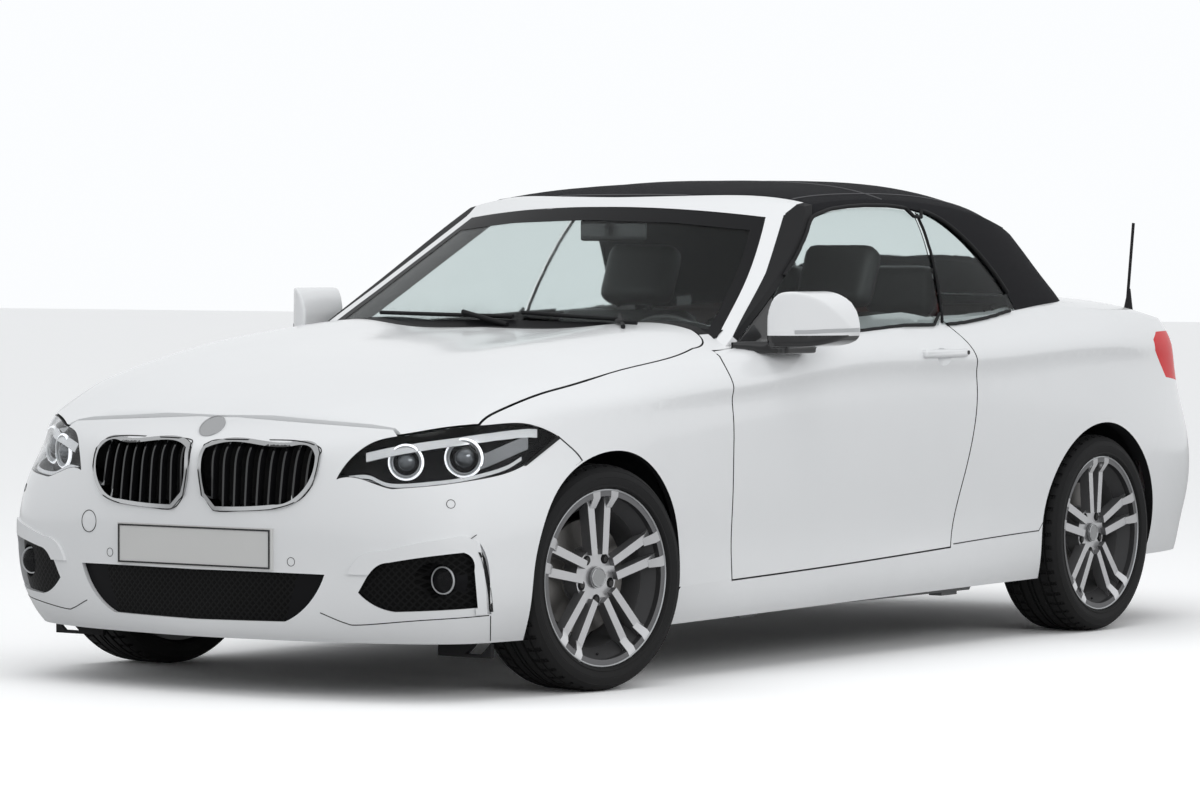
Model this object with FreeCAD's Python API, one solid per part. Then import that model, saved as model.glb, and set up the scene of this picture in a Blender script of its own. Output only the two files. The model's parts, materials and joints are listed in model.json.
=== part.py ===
import FreeCAD, Part
import math
import os

# A four-seat, two-door car with a folding fabric roof, standing with its front wheels a little turned.
# The frame: X forwards, Y to the car's left, Z up, origin on the ground under the middle of the car.

V = FreeCAD.Vector

# Driving dimensions, millimetres and degrees
LENGTH = 4432
BODY_WIDTH = 1774
HEIGHT = 1418
WHEELBASE = 2690
FRONT_OVERHANG = 750
FRONT_TRACK = 1520
REAR_TRACK = 1540
TYRE_RADIUS = 310
TYRE_WIDTH = 222
RIM_RADIUS = 241
PARKED_STEER = -8.5
PANEL_GAP = 5
LID_GAP = 9
LAMP_GAP = 1
OVERRUN = 60

# Wall thicknesses
SKIN = 18
BUMPER_WALL = 28
LID_WALL = 30
DOOR_DEPTH = 105
QUARTER_DEPTH = 45
GLASS_WALL = 5
FABRIC_WALL = 22
FRAME_WALL = 36
DOOR_STEP = 30
DISH_SHARE = 0.348
DISH_RADIUS = 64
DISH_Y = 905
HANDLE_FRONT_SHARE = 0.393
HANDLE_REAR_SHARE = 0.301
HANDLE_INNER = 838
HANDLE_OUTER = 869
HANDLE_FOOT = 880
HANDLE_HEIGHT = 24
HANDLE_ROUND = 9
HANDLE_WALL = 13
FINGER_ROOM = 46
LAMP_DEPTH = 60
TRIM_DEPTH = 10
PLATE_WIDTH = 536
PLATE_HEIGHT = 112
PLATE_WALL = 6
FRONT_PLATE_FOOT = 344
REAR_PLATE_FOOT = 742
TRIM_RISE = 7
WING_INNER_SHARE = 0.55
WING_CORNER_REAR_SHARE = 0.698
WING_CORNER_OUTER_SHARE = 0.863
WING_CORNER_FOOT_SHARE = 0.6475
DECK_LEVEL_SHARE = 0.7
SILL_OUTER_SHARE = 0.925
QUARTER_START_SHARE = 0.345
SILENCER_SHARE = -0.62
TAILPIPE_END_SHARE = -0.97
CORNER_SHARE = 0.3
BONNET_FOOT_SHARE = 0.46

HALF_WIDTH = BODY_WIDTH / 2
REAR_OVERHANG = LENGTH - WHEELBASE - FRONT_OVERHANG
FRONT_AXLE_X = LENGTH / 2 - FRONT_OVERHANG
REAR_AXLE_X = FRONT_AXLE_X - WHEELBASE
AXLE_HEIGHT = TYRE_RADIUS
DEEP = 2 * HEIGHT


def x_at(share):
    """Place along the car: 2 nose, 1 front axle, 0 rear axle, -1 tail."""
    if share > 1:
        return FRONT_AXLE_X + (share - 1) * FRONT_OVERHANG
    if share < 0:
        return REAR_AXLE_X + share * REAR_OVERHANG
    return REAR_AXLE_X + share * WHEELBASE


# Widest line of the body: along, half width, and the key of the section there
BODY_PLAN_SHARES = (
    (2.000, 0.000, 0.0), (1.991, 0.271, 0.3), (1.953, 0.500, 0.5), (1.900, 0.680, 0.75),
    (1.845, 0.790, 0.9), (1.775, 0.868, 1.0), (1.680, 0.920, 1.15), (1.510, 0.955, 1.3),
    (1.267, 0.978, 1.7), (1.000, 0.990, 2.0),
    (0.888, 0.984, 2.5), (0.740, 0.976, 3.0), (0.517, 0.972, 4.0), (0.294, 0.976, 4.0),
    (0.145, 0.988, 4.5), (0.000, 1.000, 5.0), (-0.312, 0.993, 5.3), (-0.565, 0.958, 5.6),
    (-0.730, 0.895, 5.8), (-0.850, 0.770, 6.0), (-0.925, 0.600, 6.3), (-0.980, 0.320, 6.8),
    (-1.000, 0.000, 7.0))

# Sections of the body side from its foot up: heights, then insets from the widest line,
# each at the nose, lamp, front axle, cowl, door, rear axle, tail corner and tail centre
BODY_SECTION_SHARES = (
    ((0.085, 0.085, 0.085, 0.085, 0.085, 0.085, 0.085, 0.085),
     (0.085, 0.125, 0.100, 0.090, 0.090, 0.101, 0.130, 0.124)),
    ((0.130, 0.136, 0.141, 0.141, 0.145, 0.152, 0.160, 0.166),
     (0.012, 0.050, 0.050, 0.041, 0.041, 0.045, 0.060, 0.051)),
    ((0.176, 0.186, 0.190, 0.185, 0.190, 0.205, 0.225, 0.233),
     (0.008, 0.016, 0.018, 0.034, 0.034, 0.020, 0.040, 0.020)),
    ((0.254, 0.262, 0.268, 0.257, 0.261, 0.282, 0.300, 0.310),
     (0.013, 0.002, 0.007, 0.036, 0.038, 0.009, 0.010, 0.002)),
    ((0.331, 0.336, 0.339, 0.346, 0.353, 0.367, 0.380, 0.395),
     (0.010, 0.006, 0.002, 0.025, 0.029, 0.002, 0.002, 0.005)),
    ((0.416, 0.420, 0.423, 0.437, 0.451, 0.465, 0.470, 0.472),
     (0.010, 0.048, 0.004, 0.018, 0.020, 0.002, 0.030, 0.029)),
    ((0.470, 0.468, 0.494, 0.522, 0.547, 0.564, 0.550, 0.543),
     (0.026, 0.088, 0.010, 0.016, 0.019, 0.009, 0.066, 0.050)),
    ((0.492, 0.495, 0.530, 0.561, 0.592, 0.615, 0.602, 0.599),
     (0.070, 0.104, 0.016, 0.016, 0.017, 0.011, 0.078, 0.059)),
    ((0.509, 0.515, 0.554, 0.580, 0.612, 0.635, 0.630, 0.628),
     (0.102, 0.130, 0.024, 0.009, 0.009, 0.007, 0.088, 0.064)),
    ((0.530, 0.545, 0.590, 0.620, 0.645, 0.669, 0.668, 0.666),
     (0.128, 0.172, 0.080, 0.045, 0.028, 0.036, 0.112, 0.075)),
    ((0.570, 0.590, 0.635, 0.660, 0.680, 0.704, 0.705, 0.705),
     (0.160, 0.230, 0.150, 0.115, 0.080, 0.092, 0.150, 0.098)),
    ((0.640, 0.660, 0.700, 0.720, 0.735, 0.755, 0.755, 0.755),
     (0.215, 0.320, 0.220, 0.190, 0.165, 0.170, 0.220, 0.170)),
    ((0.800, 0.800, 0.800, 0.800, 0.800, 0.800, 0.800, 0.800),
     (0.330, 0.480, 0.340, 0.320, 0.300, 0.310, 0.350, 0.300)))

# Top of the body: half width shares of the columns, then along and the heights of each row
TOP_COLUMN_SHARES = (0, 0.35, 0.72, 0.857, 1.0, 1.15)
TOP_ROW_SHARES = (
    (2.080, (0.420, 0.412, 0.340, 0.280, 0.210, 0.140)),
    (1.930, (0.493, 0.488, 0.425, 0.375, 0.315, 0.250)),
    (1.828, (0.533, 0.528, 0.472, 0.430, 0.380, 0.320)),
    (1.737, (0.555, 0.550, 0.503, 0.472, 0.425, 0.370)),
    (1.600, (0.578, 0.575, 0.545, 0.518, 0.480, 0.430)),
    (1.400, (0.608, 0.605, 0.592, 0.566, 0.525, 0.475)),
    (1.139, (0.636, 0.635, 0.628, 0.598, 0.557, 0.510)),
    (0.968, (0.656, 0.655, 0.652, 0.619, 0.575, 0.530)),
    (0.877, (0.674, 0.673, 0.671, 0.635, 0.592, 0.545)),
    (0.770, (0.690, 0.690, 0.687, 0.648, 0.605, 0.560)),
    (0.628, (0.698, 0.698, 0.694, 0.666, 0.635, 0.600)),
    (0.480, (0.708, 0.707, 0.703, 0.683, 0.655, 0.620)),
    (0.316, (0.718, 0.717, 0.714, 0.699, 0.670, 0.635)),
    (0.169, (0.731, 0.730, 0.725, 0.713, 0.680, 0.645)),
    (-0.010, (0.749, 0.748, 0.740, 0.725, 0.688, 0.650)),
    (-0.225, (0.748, 0.746, 0.735, 0.716, 0.680, 0.640)),
    (-0.471, (0.740, 0.738, 0.724, 0.702, 0.663, 0.620)),
    (-0.627, (0.731, 0.727, 0.709, 0.683, 0.642, 0.600)),
    (-0.766, (0.719, 0.714, 0.692, 0.661, 0.620, 0.575)),
    (-0.877, (0.705, 0.698, 0.670, 0.635, 0.592, 0.545)),
    (-0.998, (0.673, 0.663, 0.628, 0.585, 0.543, 0.495)),
    (-1.110, (0.620, 0.610, 0.570, 0.530, 0.490, 0.440)))

# Foot of the cabin's walls at the waistline: along, half width, key
CABIN_PLAN_SHARES = (
    (0.990, 0.000, 0.0), (0.975, 0.300, 0.0), (0.930, 0.580, 0.0), (0.860, 0.745, 0.0),
    (0.770, 0.818, 0.2), (0.665, 0.848, 0.6), (0.490, 0.870, 1.0), (0.316, 0.875, 1.5),
    (0.156, 0.865, 2.0), (0.050, 0.840, 2.3), (-0.045, 0.785, 2.7), (-0.165, 0.680, 3.0),
    (-0.265, 0.540, 3.3), (-0.345, 0.370, 3.6), (-0.388, 0.180, 3.9), (-0.400, 0.000, 4.0))

# Sections of the cabin walls: heights, then insets, at the screen, door, side window, corner, tail
CABIN_SECTION_SHARES = (
    ((0.600, 0.600, 0.600, 0.600, 0.600), (-0.030, -0.020, -0.020, -0.025, -0.060)),
    ((0.700, 0.705, 0.715, 0.735, 0.745), (0.000, 0.000, 0.000, 0.000, 0.000)),
    ((0.760, 0.765, 0.770, 0.785, 0.790), (0.045, 0.030, 0.028, 0.075, 0.085)),
    ((0.835, 0.840, 0.845, 0.850, 0.850), (0.110, 0.078, 0.080, 0.178, 0.205)),
    ((0.910, 0.918, 0.922, 0.920, 0.920), (0.190, 0.148, 0.155, 0.290, 0.360)),
    ((0.965, 0.975, 0.980, 0.975, 0.975), (0.275, 0.225, 0.235, 0.355, 0.500)),
    ((1.080, 1.080, 1.080, 1.080, 1.080), (0.400, 0.370, 0.380, 0.490, 0.680)))

ROOF_COLUMN_SHARES = (0, 0.30, 0.55, 0.72, 0.90)
ROOF_ROW_SHARES = (
    (0.900, (0.620, 0.620, 0.610, 0.600, 0.590)),
    (0.720, (0.790, 0.788, 0.775, 0.762, 0.740)),
    (0.640, (0.880, 0.878, 0.864, 0.850, 0.825)),
    (0.561, (0.945, 0.942, 0.930, 0.912, 0.880)),
    (0.480, (0.976, 0.974, 0.962, 0.938, 0.896)),
    (0.368, (0.994, 0.991, 0.975, 0.947, 0.900)),
    (0.257, (1.000, 0.996, 0.976, 0.942, 0.886)),
    (0.145, (0.996, 0.990, 0.962, 0.922, 0.856)),
    (0.071, (0.980, 0.970, 0.936, 0.889, 0.815)),
    (-0.010, (0.938, 0.925, 0.880, 0.825, 0.750)),
    (-0.161, (0.872, 0.855, 0.808, 0.757, 0.690)),
    (-0.312, (0.792, 0.776, 0.735, 0.690, 0.630)),
    (-0.400, (0.745, 0.728, 0.685, 0.640, 0.580)),
    (-0.520, (0.670, 0.650, 0.610, 0.560, 0.500)))

# Outer face of the windscreen: half width shares, then height and along of each row
SCREEN_COLUMN_SHARES = (0, 0.28, 0.56, 0.84, 1.10)
SCREEN_ROW_SHARES = (
    (0.600, (0.845, 0.837, 0.815, 0.778, 0.725)),
    (0.688, (0.770, 0.763, 0.742, 0.708, 0.655)),
    (0.780, (0.694, 0.686, 0.661, 0.617, 0.555)),
    (0.870, (0.621, 0.612, 0.583, 0.531, 0.462)),
    (0.942, (0.561, 0.551, 0.520, 0.464, 0.392)),
    (1.080, (0.445, 0.435, 0.402, 0.340, 0.260)))


def blend(values, key):
    """Value between two neighbours of a row."""
    low = min(int(key), len(values) - 2)
    part = key - low
    return values[low] * (1 - part) + values[low + 1] * part


def plan_normals(points):
    """Outward normal of a plan line at each of its points, square to the centre plane at its ends."""
    normals = []
    last = len(points) - 1
    for i in range(len(points)):
        before = points[max(i - 1, 0)]
        after = points[min(i + 1, last)]
        dx = after[0] - before[0] if 0 < i < last else 0
        dy = after[1] - before[1]
        size = math.hypot(dx, dy)
        normals.append((dy / size, -dx / size))
    return normals


def grid_steps(rows):
    """Parameters along a grid's first direction, from the mean spacing of its rows."""
    places = [0]
    for near, far in zip(rows, rows[1:]):
        places.append(places[-1] + sum(p.distanceToPoint(q) for p, q in zip(near, far)))
    return [place / places[-1] for place in places]


def curve_through(points, parameters):
    curve = Part.BSplineCurve()
    curve.interpolate(Points=points, Parameters=parameters)
    return curve


def skin(grid, mirrored_ends):
    """Smooth face through a grid of points. Each row's ends may lie on the centre plane."""
    if mirrored_ends:
        first = [V(row[1].x, -row[1].y, row[1].z) for row in grid]
        last = [V(row[-2].x, -row[-2].y, row[-2].z) for row in grid]
        if mirrored_ends == "first":
            grid = [[a] + row for a, row in zip(first, grid)]
        else:
            grid = [[a] + row + [b] for a, row, b in zip(first, grid, last)]
    columns = [list(column) for column in zip(*grid)]
    u_places = grid_steps(grid)
    v_places = grid_steps(columns)
    lines = [curve_through(column, u_places) for column in columns]
    pole_rows = zip(*[line.getPoles() for line in lines])
    rows = [curve_through(list(row), v_places) for row in pole_rows]
    surface = Part.BSplineSurface()
    surface.buildFromPolesMultsKnots([row.getPoles() for row in rows], lines[0].getMultiplicities(),
                                     rows[0].getMultiplicities(), lines[0].getKnots(),
                                     rows[0].getKnots(), False, False, lines[0].Degree, rows[0].Degree)
    if mirrored_ends == "both":
        surface.segment(0, 1, v_places[1], v_places[-2])
    if mirrored_ends == "first":
        surface.segment(0, 1, v_places[1], 1)
    return surface.toShape()


def closed_solid(faces):
    shell = Part.Shell(faces)
    shell.sewShape()
    solid = Part.Solid(shell)
    if solid.Volume < 0:
        solid.reverse()
    return solid


def wall_half(plan_shares, section_shares, inset):
    """Left half of the space inside a wall that runs round the car, moved inwards by an inset."""
    plan = [(x_at(s), y * HALF_WIDTH) for s, y, key in plan_shares]
    keys = [key for s, y, key in plan_shares]
    normals = plan_normals(plan)
    grid = []
    for heights, insets in section_shares:
        row = []
        for (x, y), (nx, ny), key in zip(plan, normals, keys):
            move = blend(insets, key) * HALF_WIDTH + inset
            row.append(V(x - nx * move, y - ny * move, blend(heights, key) * HEIGHT))
        grid.append(row)
    face = skin(grid, "both")
    foot, nose, head, tail = face.Edges
    lid = Part.Face(Part.Wire([head, Part.makeLine(grid[-1][-1], grid[-1][0])]))
    floor = Part.Face(Part.Wire([foot, Part.makeLine(grid[0][-1], grid[0][0])]))
    middle = Part.Face(Part.Wire(Part.sortEdges([nose, Part.makeLine(grid[-1][0], grid[-1][-1]), tail,
                                                 Part.makeLine(grid[0][-1], grid[0][0])])[0]))
    return closed_solid([face, lid, floor, middle])


def height_half(column_shares, row_shares, drop):
    """Left half of the space under a surface given by its heights."""
    grid = [[V(x_at(s), y * HALF_WIDTH, z * HEIGHT - drop) for y, z in zip(column_shares, heights)]
            for s, heights in row_shares]
    return skin(grid, "first").extrude(V(0, 0, -DEEP))


def screen_half(back):
    """Left half of the space behind the windscreen's outer face."""
    grid = [[V(x_at(s) - back, y * HALF_WIDTH, z * HEIGHT) for y, s in zip(SCREEN_COLUMN_SHARES, places)]
            for z, places in SCREEN_ROW_SHARES]
    return skin(grid, "first").extrude(V(-DEEP, 0, 0))


def body_wall(inset):
    return wall_half(BODY_PLAN_SHARES, BODY_SECTION_SHARES, inset)


def body_top(drop):
    return height_half(TOP_COLUMN_SHARES, TOP_ROW_SHARES, drop)


def body_half(inset):
    return body_wall(inset).common(body_top(inset))


def cabin_half(inset):
    wall = wall_half(CABIN_PLAN_SHARES, CABIN_SECTION_SHARES, inset)
    return wall.common(height_half(ROOF_COLUMN_SHARES, ROOF_ROW_SHARES, inset))


# Outlines of panels. Side outlines: along, height. Plan: along, half width. Front: half width, height.
DOOR_SHARES = (
    ((0.766, 0.191), (0.770, 0.353), (0.774, 0.549), (0.773, 0.615), (0.760, 0.652)),
    ((0.760, 0.652), (0.752, 0.800)),
    ((0.752, 0.800), (0.302, 0.800)),
    ((0.302, 0.800), (0.302, 0.695)),
    ((0.302, 0.695), (0.284, 0.638), (0.274, 0.563), (0.278, 0.480), (0.290, 0.399), (0.320, 0.216)),
    ((0.320, 0.216), (0.510, 0.203), (0.766, 0.191)))
DOOR_GLASS_SHARES = (
    ((0.627, 0.600), (0.627, 0.752)),
    ((0.627, 0.752), (0.563, 0.846), (0.519, 0.903)),
    ((0.519, 0.903), (0.454, 0.928), (0.397, 0.936), (0.333, 0.937), (0.282, 0.929)),
    ((0.282, 0.929), (0.315, 0.690)),
    ((0.315, 0.690), (0.315, 0.600)),
    ((0.315, 0.600), (0.627, 0.600)))
SAIL_SHARES = (
    ((0.631, 0.600), (0.631, 0.760)),
    ((0.631, 0.760), (0.720, 0.760)),
    ((0.720, 0.760), (0.720, 0.600)),
    ((0.720, 0.600), (0.631, 0.600)))
QUARTER_GLASS_SHARES = (
    ((0.308, 0.600), (0.308, 0.690)),
    ((0.308, 0.690), (0.275, 0.929)),
    ((0.275, 0.929), (0.238, 0.912), (0.201, 0.866), (0.171, 0.811), (0.145, 0.748), (0.130, 0.690)),
    ((0.130, 0.690), (0.130, 0.600)),
    ((0.130, 0.600), (0.308, 0.600)))
SIDE_OPENING_SHARES = (
    ((0.900, 0.500), (0.900, 0.652)),
    ((0.900, 0.652), (0.530, 0.903)),
    ((0.530, 0.903), (0.459, 0.925), (0.397, 0.936), (0.333, 0.938), (0.269, 0.929),
     (0.238, 0.912), (0.201, 0.866), (0.171, 0.811), (0.145, 0.748), (0.130, 0.690)),
    ((0.130, 0.690), (0.130, 0.500)),
    ((0.130, 0.500), (0.900, 0.500)))
SKIRT_SHARES = (
    ((0.893, 0.111), (0.884, 0.150), (0.868, 0.187)),
    ((0.868, 0.187), (0.766, 0.191)),
    ((0.766, 0.191), (0.510, 0.203), (0.320, 0.216)),
    ((0.320, 0.216), (0.120, 0.268)),
    ((0.120, 0.268), (0.120, 0.128)),
    ((0.120, 0.128), (0.893, 0.111)))
FRONT_BUMPER_SHARES = (
    ((1.000, 0.400), (1.182, 0.442)),
    ((1.182, 0.442), (1.216, 0.463), (1.290, 0.4945)),
    ((1.290, 0.4945), (1.700, 0.500)),
    ((1.700, 0.500), (1.700, 0.620)),
    ((1.700, 0.620), (2.200, 0.620)),
    ((2.200, 0.620), (2.200, 0.109)),
    ((2.200, 0.109), (1.000, 0.109)),
    ((1.000, 0.109), (1.000, 0.400)))
REAR_BUMPER_SHARES = (
    ((-0.050, 0.158), (-0.050, 0.300)),
    ((-0.050, 0.300), (-0.315, 0.385)),
    ((-0.315, 0.385), (-0.440, 0.470), (-0.500, 0.540)),
    ((-0.500, 0.540), (-0.640, 0.540)),
    ((-0.640, 0.540), (-0.700, 0.490)),
    ((-0.700, 0.490), (-1.200, 0.490)),
    ((-1.200, 0.490), (-1.200, 0.158)),
    ((-1.200, 0.158), (-0.050, 0.158)))
BONNET_SHARES = (
    ((0.788, 0.000), (0.781, 0.282), (0.762, 0.541), (0.743, 0.733)),
    ((0.743, 0.733), (0.752, 0.790), (0.791, 0.836)),
    ((0.791, 0.836), (0.846, 0.866), (0.947, 0.885), (1.182, 0.880), (1.428, 0.839), (1.625, 0.835)),
    ((1.625, 0.835), (1.787, 0.676)),
    ((1.787, 0.676), (1.764, 0.625)),
    ((1.764, 0.625), (1.808, 0.444), (1.833, 0.232), (1.838, 0.000)),
    ((1.838, 0.000), (0.788, 0.000)))
COWL_SHARES = (
    ((0.860, 0.000), (0.860, 0.760)),
    ((0.860, 0.760), (0.700, 0.775)),
    ((0.700, 0.775), (0.700, 0.000)),
    ((0.700, 0.000), (0.860, 0.000)))
CABIN_OPENING_SHARES = (
    ((0.740, 0.000), (0.740, 0.790)),
    ((0.740, 0.790), (0.500, 0.815), (0.294, 0.825), (0.110, 0.800), (0.040, 0.700), (0.010, 0.450),
     (0.005, 0.000)),
    ((0.005, 0.000), (0.740, 0.000)))
DECK_SHARES = (
    ((0.120, 0.000), (0.120, 0.800)),
    ((0.120, 0.800), (-0.200, 0.800), (-0.505, 0.735)),
    ((-0.505, 0.735), (-0.505, 0.000)),
    ((-0.505, 0.000), (0.120, 0.000)))
BOOT_LID_SHARES = (
    ((-0.505, 0.000), (-0.505, 0.500)),
    ((-0.505, 0.500), (-0.514, 0.570), (-0.545, 0.605)),
    ((-0.545, 0.605), (-1.200, 0.605)),
    ((-1.200, 0.605), (-1.200, 0.000)),
    ((-1.200, 0.000), (-0.505, 0.000)))
TAIL_LAMP_REAR_SHARES = (
    ((0.612, 0.560), (0.612, 0.650)),
    ((0.612, 0.650), (0.800, 0.662), (1.050, 0.655)),
    ((1.050, 0.655), (1.050, 0.600)),
    ((1.050, 0.600), (0.850, 0.545), (0.700, 0.545)),
    ((0.700, 0.545), (0.612, 0.560)))
TAIL_LAMP_SIDE_SHARES = (
    ((-0.410, 0.620), (-0.410, 0.645)),
    ((-0.410, 0.645), (-0.475, 0.662)),
    ((-0.475, 0.662), (-1.200, 0.680)),
    ((-1.200, 0.680), (-1.200, 0.530)),
    ((-1.200, 0.530), (-0.530, 0.545)),
    ((-0.530, 0.545), (-0.410, 0.620)))
LID_LAMP_SHARES = (
    ((0.330, 0.590), (0.330, 0.640)),
    ((0.330, 0.640), (0.595, 0.650)),
    ((0.595, 0.650), (0.595, 0.565)),
    ((0.595, 0.565), (0.330, 0.590)))
SCREEN_GLASS_SHARES = (
    ((0.000, 0.600), (0.000, 0.938)),
    ((0.000, 0.938), (0.330, 0.932), (0.609, 0.916)),
    ((0.609, 0.916), (0.714, 0.800), (0.806, 0.672)),
    ((0.806, 0.672), (0.806, 0.600)),
    ((0.806, 0.600), (0.000, 0.600)))
REAR_WINDOW_SHARES = (
    ((0.035, 0.000), (0.022, 0.365)),
    ((0.022, 0.365), (-0.190, 0.450)),
    ((-0.190, 0.450), (-0.235, 0.000)),
    ((-0.235, 0.000), (0.035, 0.000)))
KIDNEY_SHARES = (
    ((0.036, 0.380), (0.020, 0.440), (0.027, 0.475)),
    ((0.027, 0.475), (0.066, 0.485), (0.210, 0.4865), (0.350, 0.486)),
    ((0.350, 0.486), (0.420, 0.477), (0.439, 0.461)),
    ((0.439, 0.461), (0.434, 0.415), (0.390, 0.377), (0.306, 0.359)),
    ((0.306, 0.359), (0.180, 0.353), (0.083, 0.352)),
    ((0.083, 0.352), (0.036, 0.380)))
INTAKE_SHARES = (
    ((0.000, 0.143), (0.000, 0.238)),
    ((0.000, 0.238), (0.250, 0.239), (0.478, 0.238)),
    ((0.478, 0.238), (0.456, 0.209), (0.409, 0.174), (0.335, 0.146)),
    ((0.335, 0.146), (0.000, 0.143)))
# The headlamp, the fog lamp's opening, its bezel and slot are drawn across a line that runs out from the
# front axle at this turn: across, height
HEADLAMP_TURN = 36.9
HEADLAMP_SHARES = (
    ((-0.062, 0.417), (-0.017, 0.457), (0.052, 0.487), (0.142, 0.499), (0.247, 0.510), (0.349, 0.517)),
    ((0.349, 0.517), (0.442, 0.520), (0.503, 0.519), (0.555, 0.510), (0.601, 0.495)),
    ((0.601, 0.495), (0.549, 0.462), (0.472, 0.434), (0.366, 0.419), (0.247, 0.409), (0.104, 0.401)),
    ((0.104, 0.401), (0.056, 0.409), (0.014, 0.418), (-0.062, 0.417)))
FOG_OPENING_SHARES = (
    ((0.002, 0.206), (0.023, 0.230), (0.050, 0.253), (0.092, 0.264)),
    ((0.092, 0.264), (0.217, 0.277), (0.318, 0.284)),
    ((0.318, 0.284), (0.341, 0.275), (0.350, 0.250)),
    ((0.350, 0.250), (0.360, 0.179)),
    ((0.360, 0.179), (0.217, 0.174), (0.113, 0.171)),
    ((0.113, 0.171), (0.053, 0.182), (0.002, 0.206)))
FOG_BEZEL_SHARES = (
    ((-0.031, 0.240), (0.008, 0.275), (0.068, 0.285)),
    ((0.068, 0.285), (0.187, 0.302), (0.291, 0.313)),
    ((0.291, 0.313), (0.336, 0.311), (0.366, 0.297), (0.384, 0.269), (0.393, 0.212), (0.397, 0.166)),
    ((0.397, 0.166), (0.355, 0.166)),
    ((0.355, 0.166), (0.345, 0.250)),
    ((0.345, 0.250), (0.050, 0.240)),
    ((0.050, 0.240), (-0.031, 0.240)))
FOG_SLOT_SHARES = (
    ((0.366, 0.301), (0.388, 0.271), (0.397, 0.212), (0.401, 0.166)),
    ((0.401, 0.166), (0.389, 0.166)),
    ((0.389, 0.166), (0.384, 0.212), (0.376, 0.262), (0.366, 0.301)))


def grown(points, gap):
    """Points of a closed outline moved outwards by a gap."""
    count = len(points)
    area = sum(points[i - 1][0] * points[i][1] - points[i][0] * points[i - 1][1] for i in range(count))
    side = 1 if area > 0 else -1
    moved = []
    for i in range(count):
        a, b, c = points[i - 1], points[i], points[(i + 1) % count]
        first = math.hypot(b[0] - a[0], b[1] - a[1])
        second = math.hypot(c[0] - b[0], c[1] - b[1])
        n1 = (side * (b[1] - a[1]) / first, side * (a[0] - b[0]) / first)
        n2 = (side * (c[1] - b[1]) / second, side * (b[0] - c[0]) / second)
        scale = gap / (1 + n1[0] * n2[0] + n1[1] * n2[1])
        moved.append((b[0] + (n1[0] + n2[0]) * scale, b[1] + (n1[1] + n2[1]) * scale))
    return moved


def side_point(pair):
    return x_at(pair[0]), pair[1] * HEIGHT


def plan_point(pair):
    return x_at(pair[0]), pair[1] * HALF_WIDTH


def front_point(pair):
    return pair[0] * HALF_WIDTH, pair[1] * HEIGHT


PLANES = {
    "side": (side_point, lambda a, b, depth: V(a, depth, b)),
    "plan": (plan_point, lambda a, b, depth: V(a, b, depth)),
    "front": (front_point, lambda a, b, depth: V(depth, a, b))}


def prism(stretches, plane, gap, near, far):
    """Block with a drawn outline, grown by a gap. A stretch of three points or more is a smooth curve."""
    sized, placed = PLANES[plane]
    loop = [sized(pair) for stretch in stretches for pair in stretch[:-1]]
    loop = grown(loop, gap)
    edges = []
    start = 0
    for stretch in stretches:
        spans = len(stretch) - 1
        run = [placed(*loop[(start + i) % len(loop)], near) for i in range(spans + 1)]
        if spans == 1:
            edges.append(Part.makeLine(run[0], run[1]))
        else:
            curve = Part.BSplineCurve()
            curve.interpolate(run)
            edges.append(curve.toShape())
        start += spans
    return Part.Face(Part.Wire(edges)).extrude(placed(0, 0, far - near))


def box(x0, x1, y0, y1, z0, z1):
    return Part.makeBox(x1 - x0, y1 - y0, z1 - z0, V(x0, y0, z0))


def mirrored(shape):
    return shape.mirror(V(0, 0, 0), V(0, 1, 0))


def whole(half):
    """Both halves of a piece that crosses the centre plane."""
    return half.fuse(mirrored(half)).removeSplitter()


def both(side_piece):
    return Part.makeCompound([side_piece, mirrored(side_piece)])


def solids_only(shape):
    """The solids of a cut, without slivers."""
    kept = [solid for solid in shape.Solids if solid.Volume > SKIN ** 3]
    return kept[0] if len(kept) == 1 else Part.makeCompound(kept)


def main_solid(shape):
    return max(shape.Solids, key=lambda solid: solid.Volume)


def write(name, shape):
    shape.exportStep(os.path.join("parts", name + ".step"))


os.makedirs("parts", exist_ok=True)

REACH = HALF_WIDTH + OVERRUN
body = body_half(0)
skin_shell = body.cut(body_half(SKIN))
bumper_shell = body.cut(body_half(BUMPER_WALL))
lid_shell = body.cut(body_half(LID_WALL))
quarter_shell = body.cut(body_half(QUARTER_DEPTH))
top_shell = body.cut(body_top(LID_WALL))
top_skin = body.cut(body_top(SKIN))
inside_skin = body_half(QUARTER_DEPTH + PANEL_GAP)
trim_inside = body_half(TRIM_DEPTH)


# Wheel arches
ARCH_LIP_RADIUS = 346
REAR_ARCH_LIP_RADIUS = 350
FRONT_LINER_RADIUS = 376
REAR_LINER_RADIUS = 362
LINER_WALL = 5
FRONT_WELL_INNER = 458
REAR_WELL_INNER = 560
WELL_OUTER = 828
DEFLECTOR_SHARE = 1.553
DEFLECTOR_WALL = 14
DEFLECTOR_INNER = 590
DEFLECTOR_OUTER = 765
DEFLECTOR_FOOT = 112
DEFLECTOR_TOP = 284


def across(x, z, radius, y0, y1):
    """Round bar along Y."""
    return Part.makeCylinder(radius, y1 - y0, V(x, y0, z), V(0, 1, 0))


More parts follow.
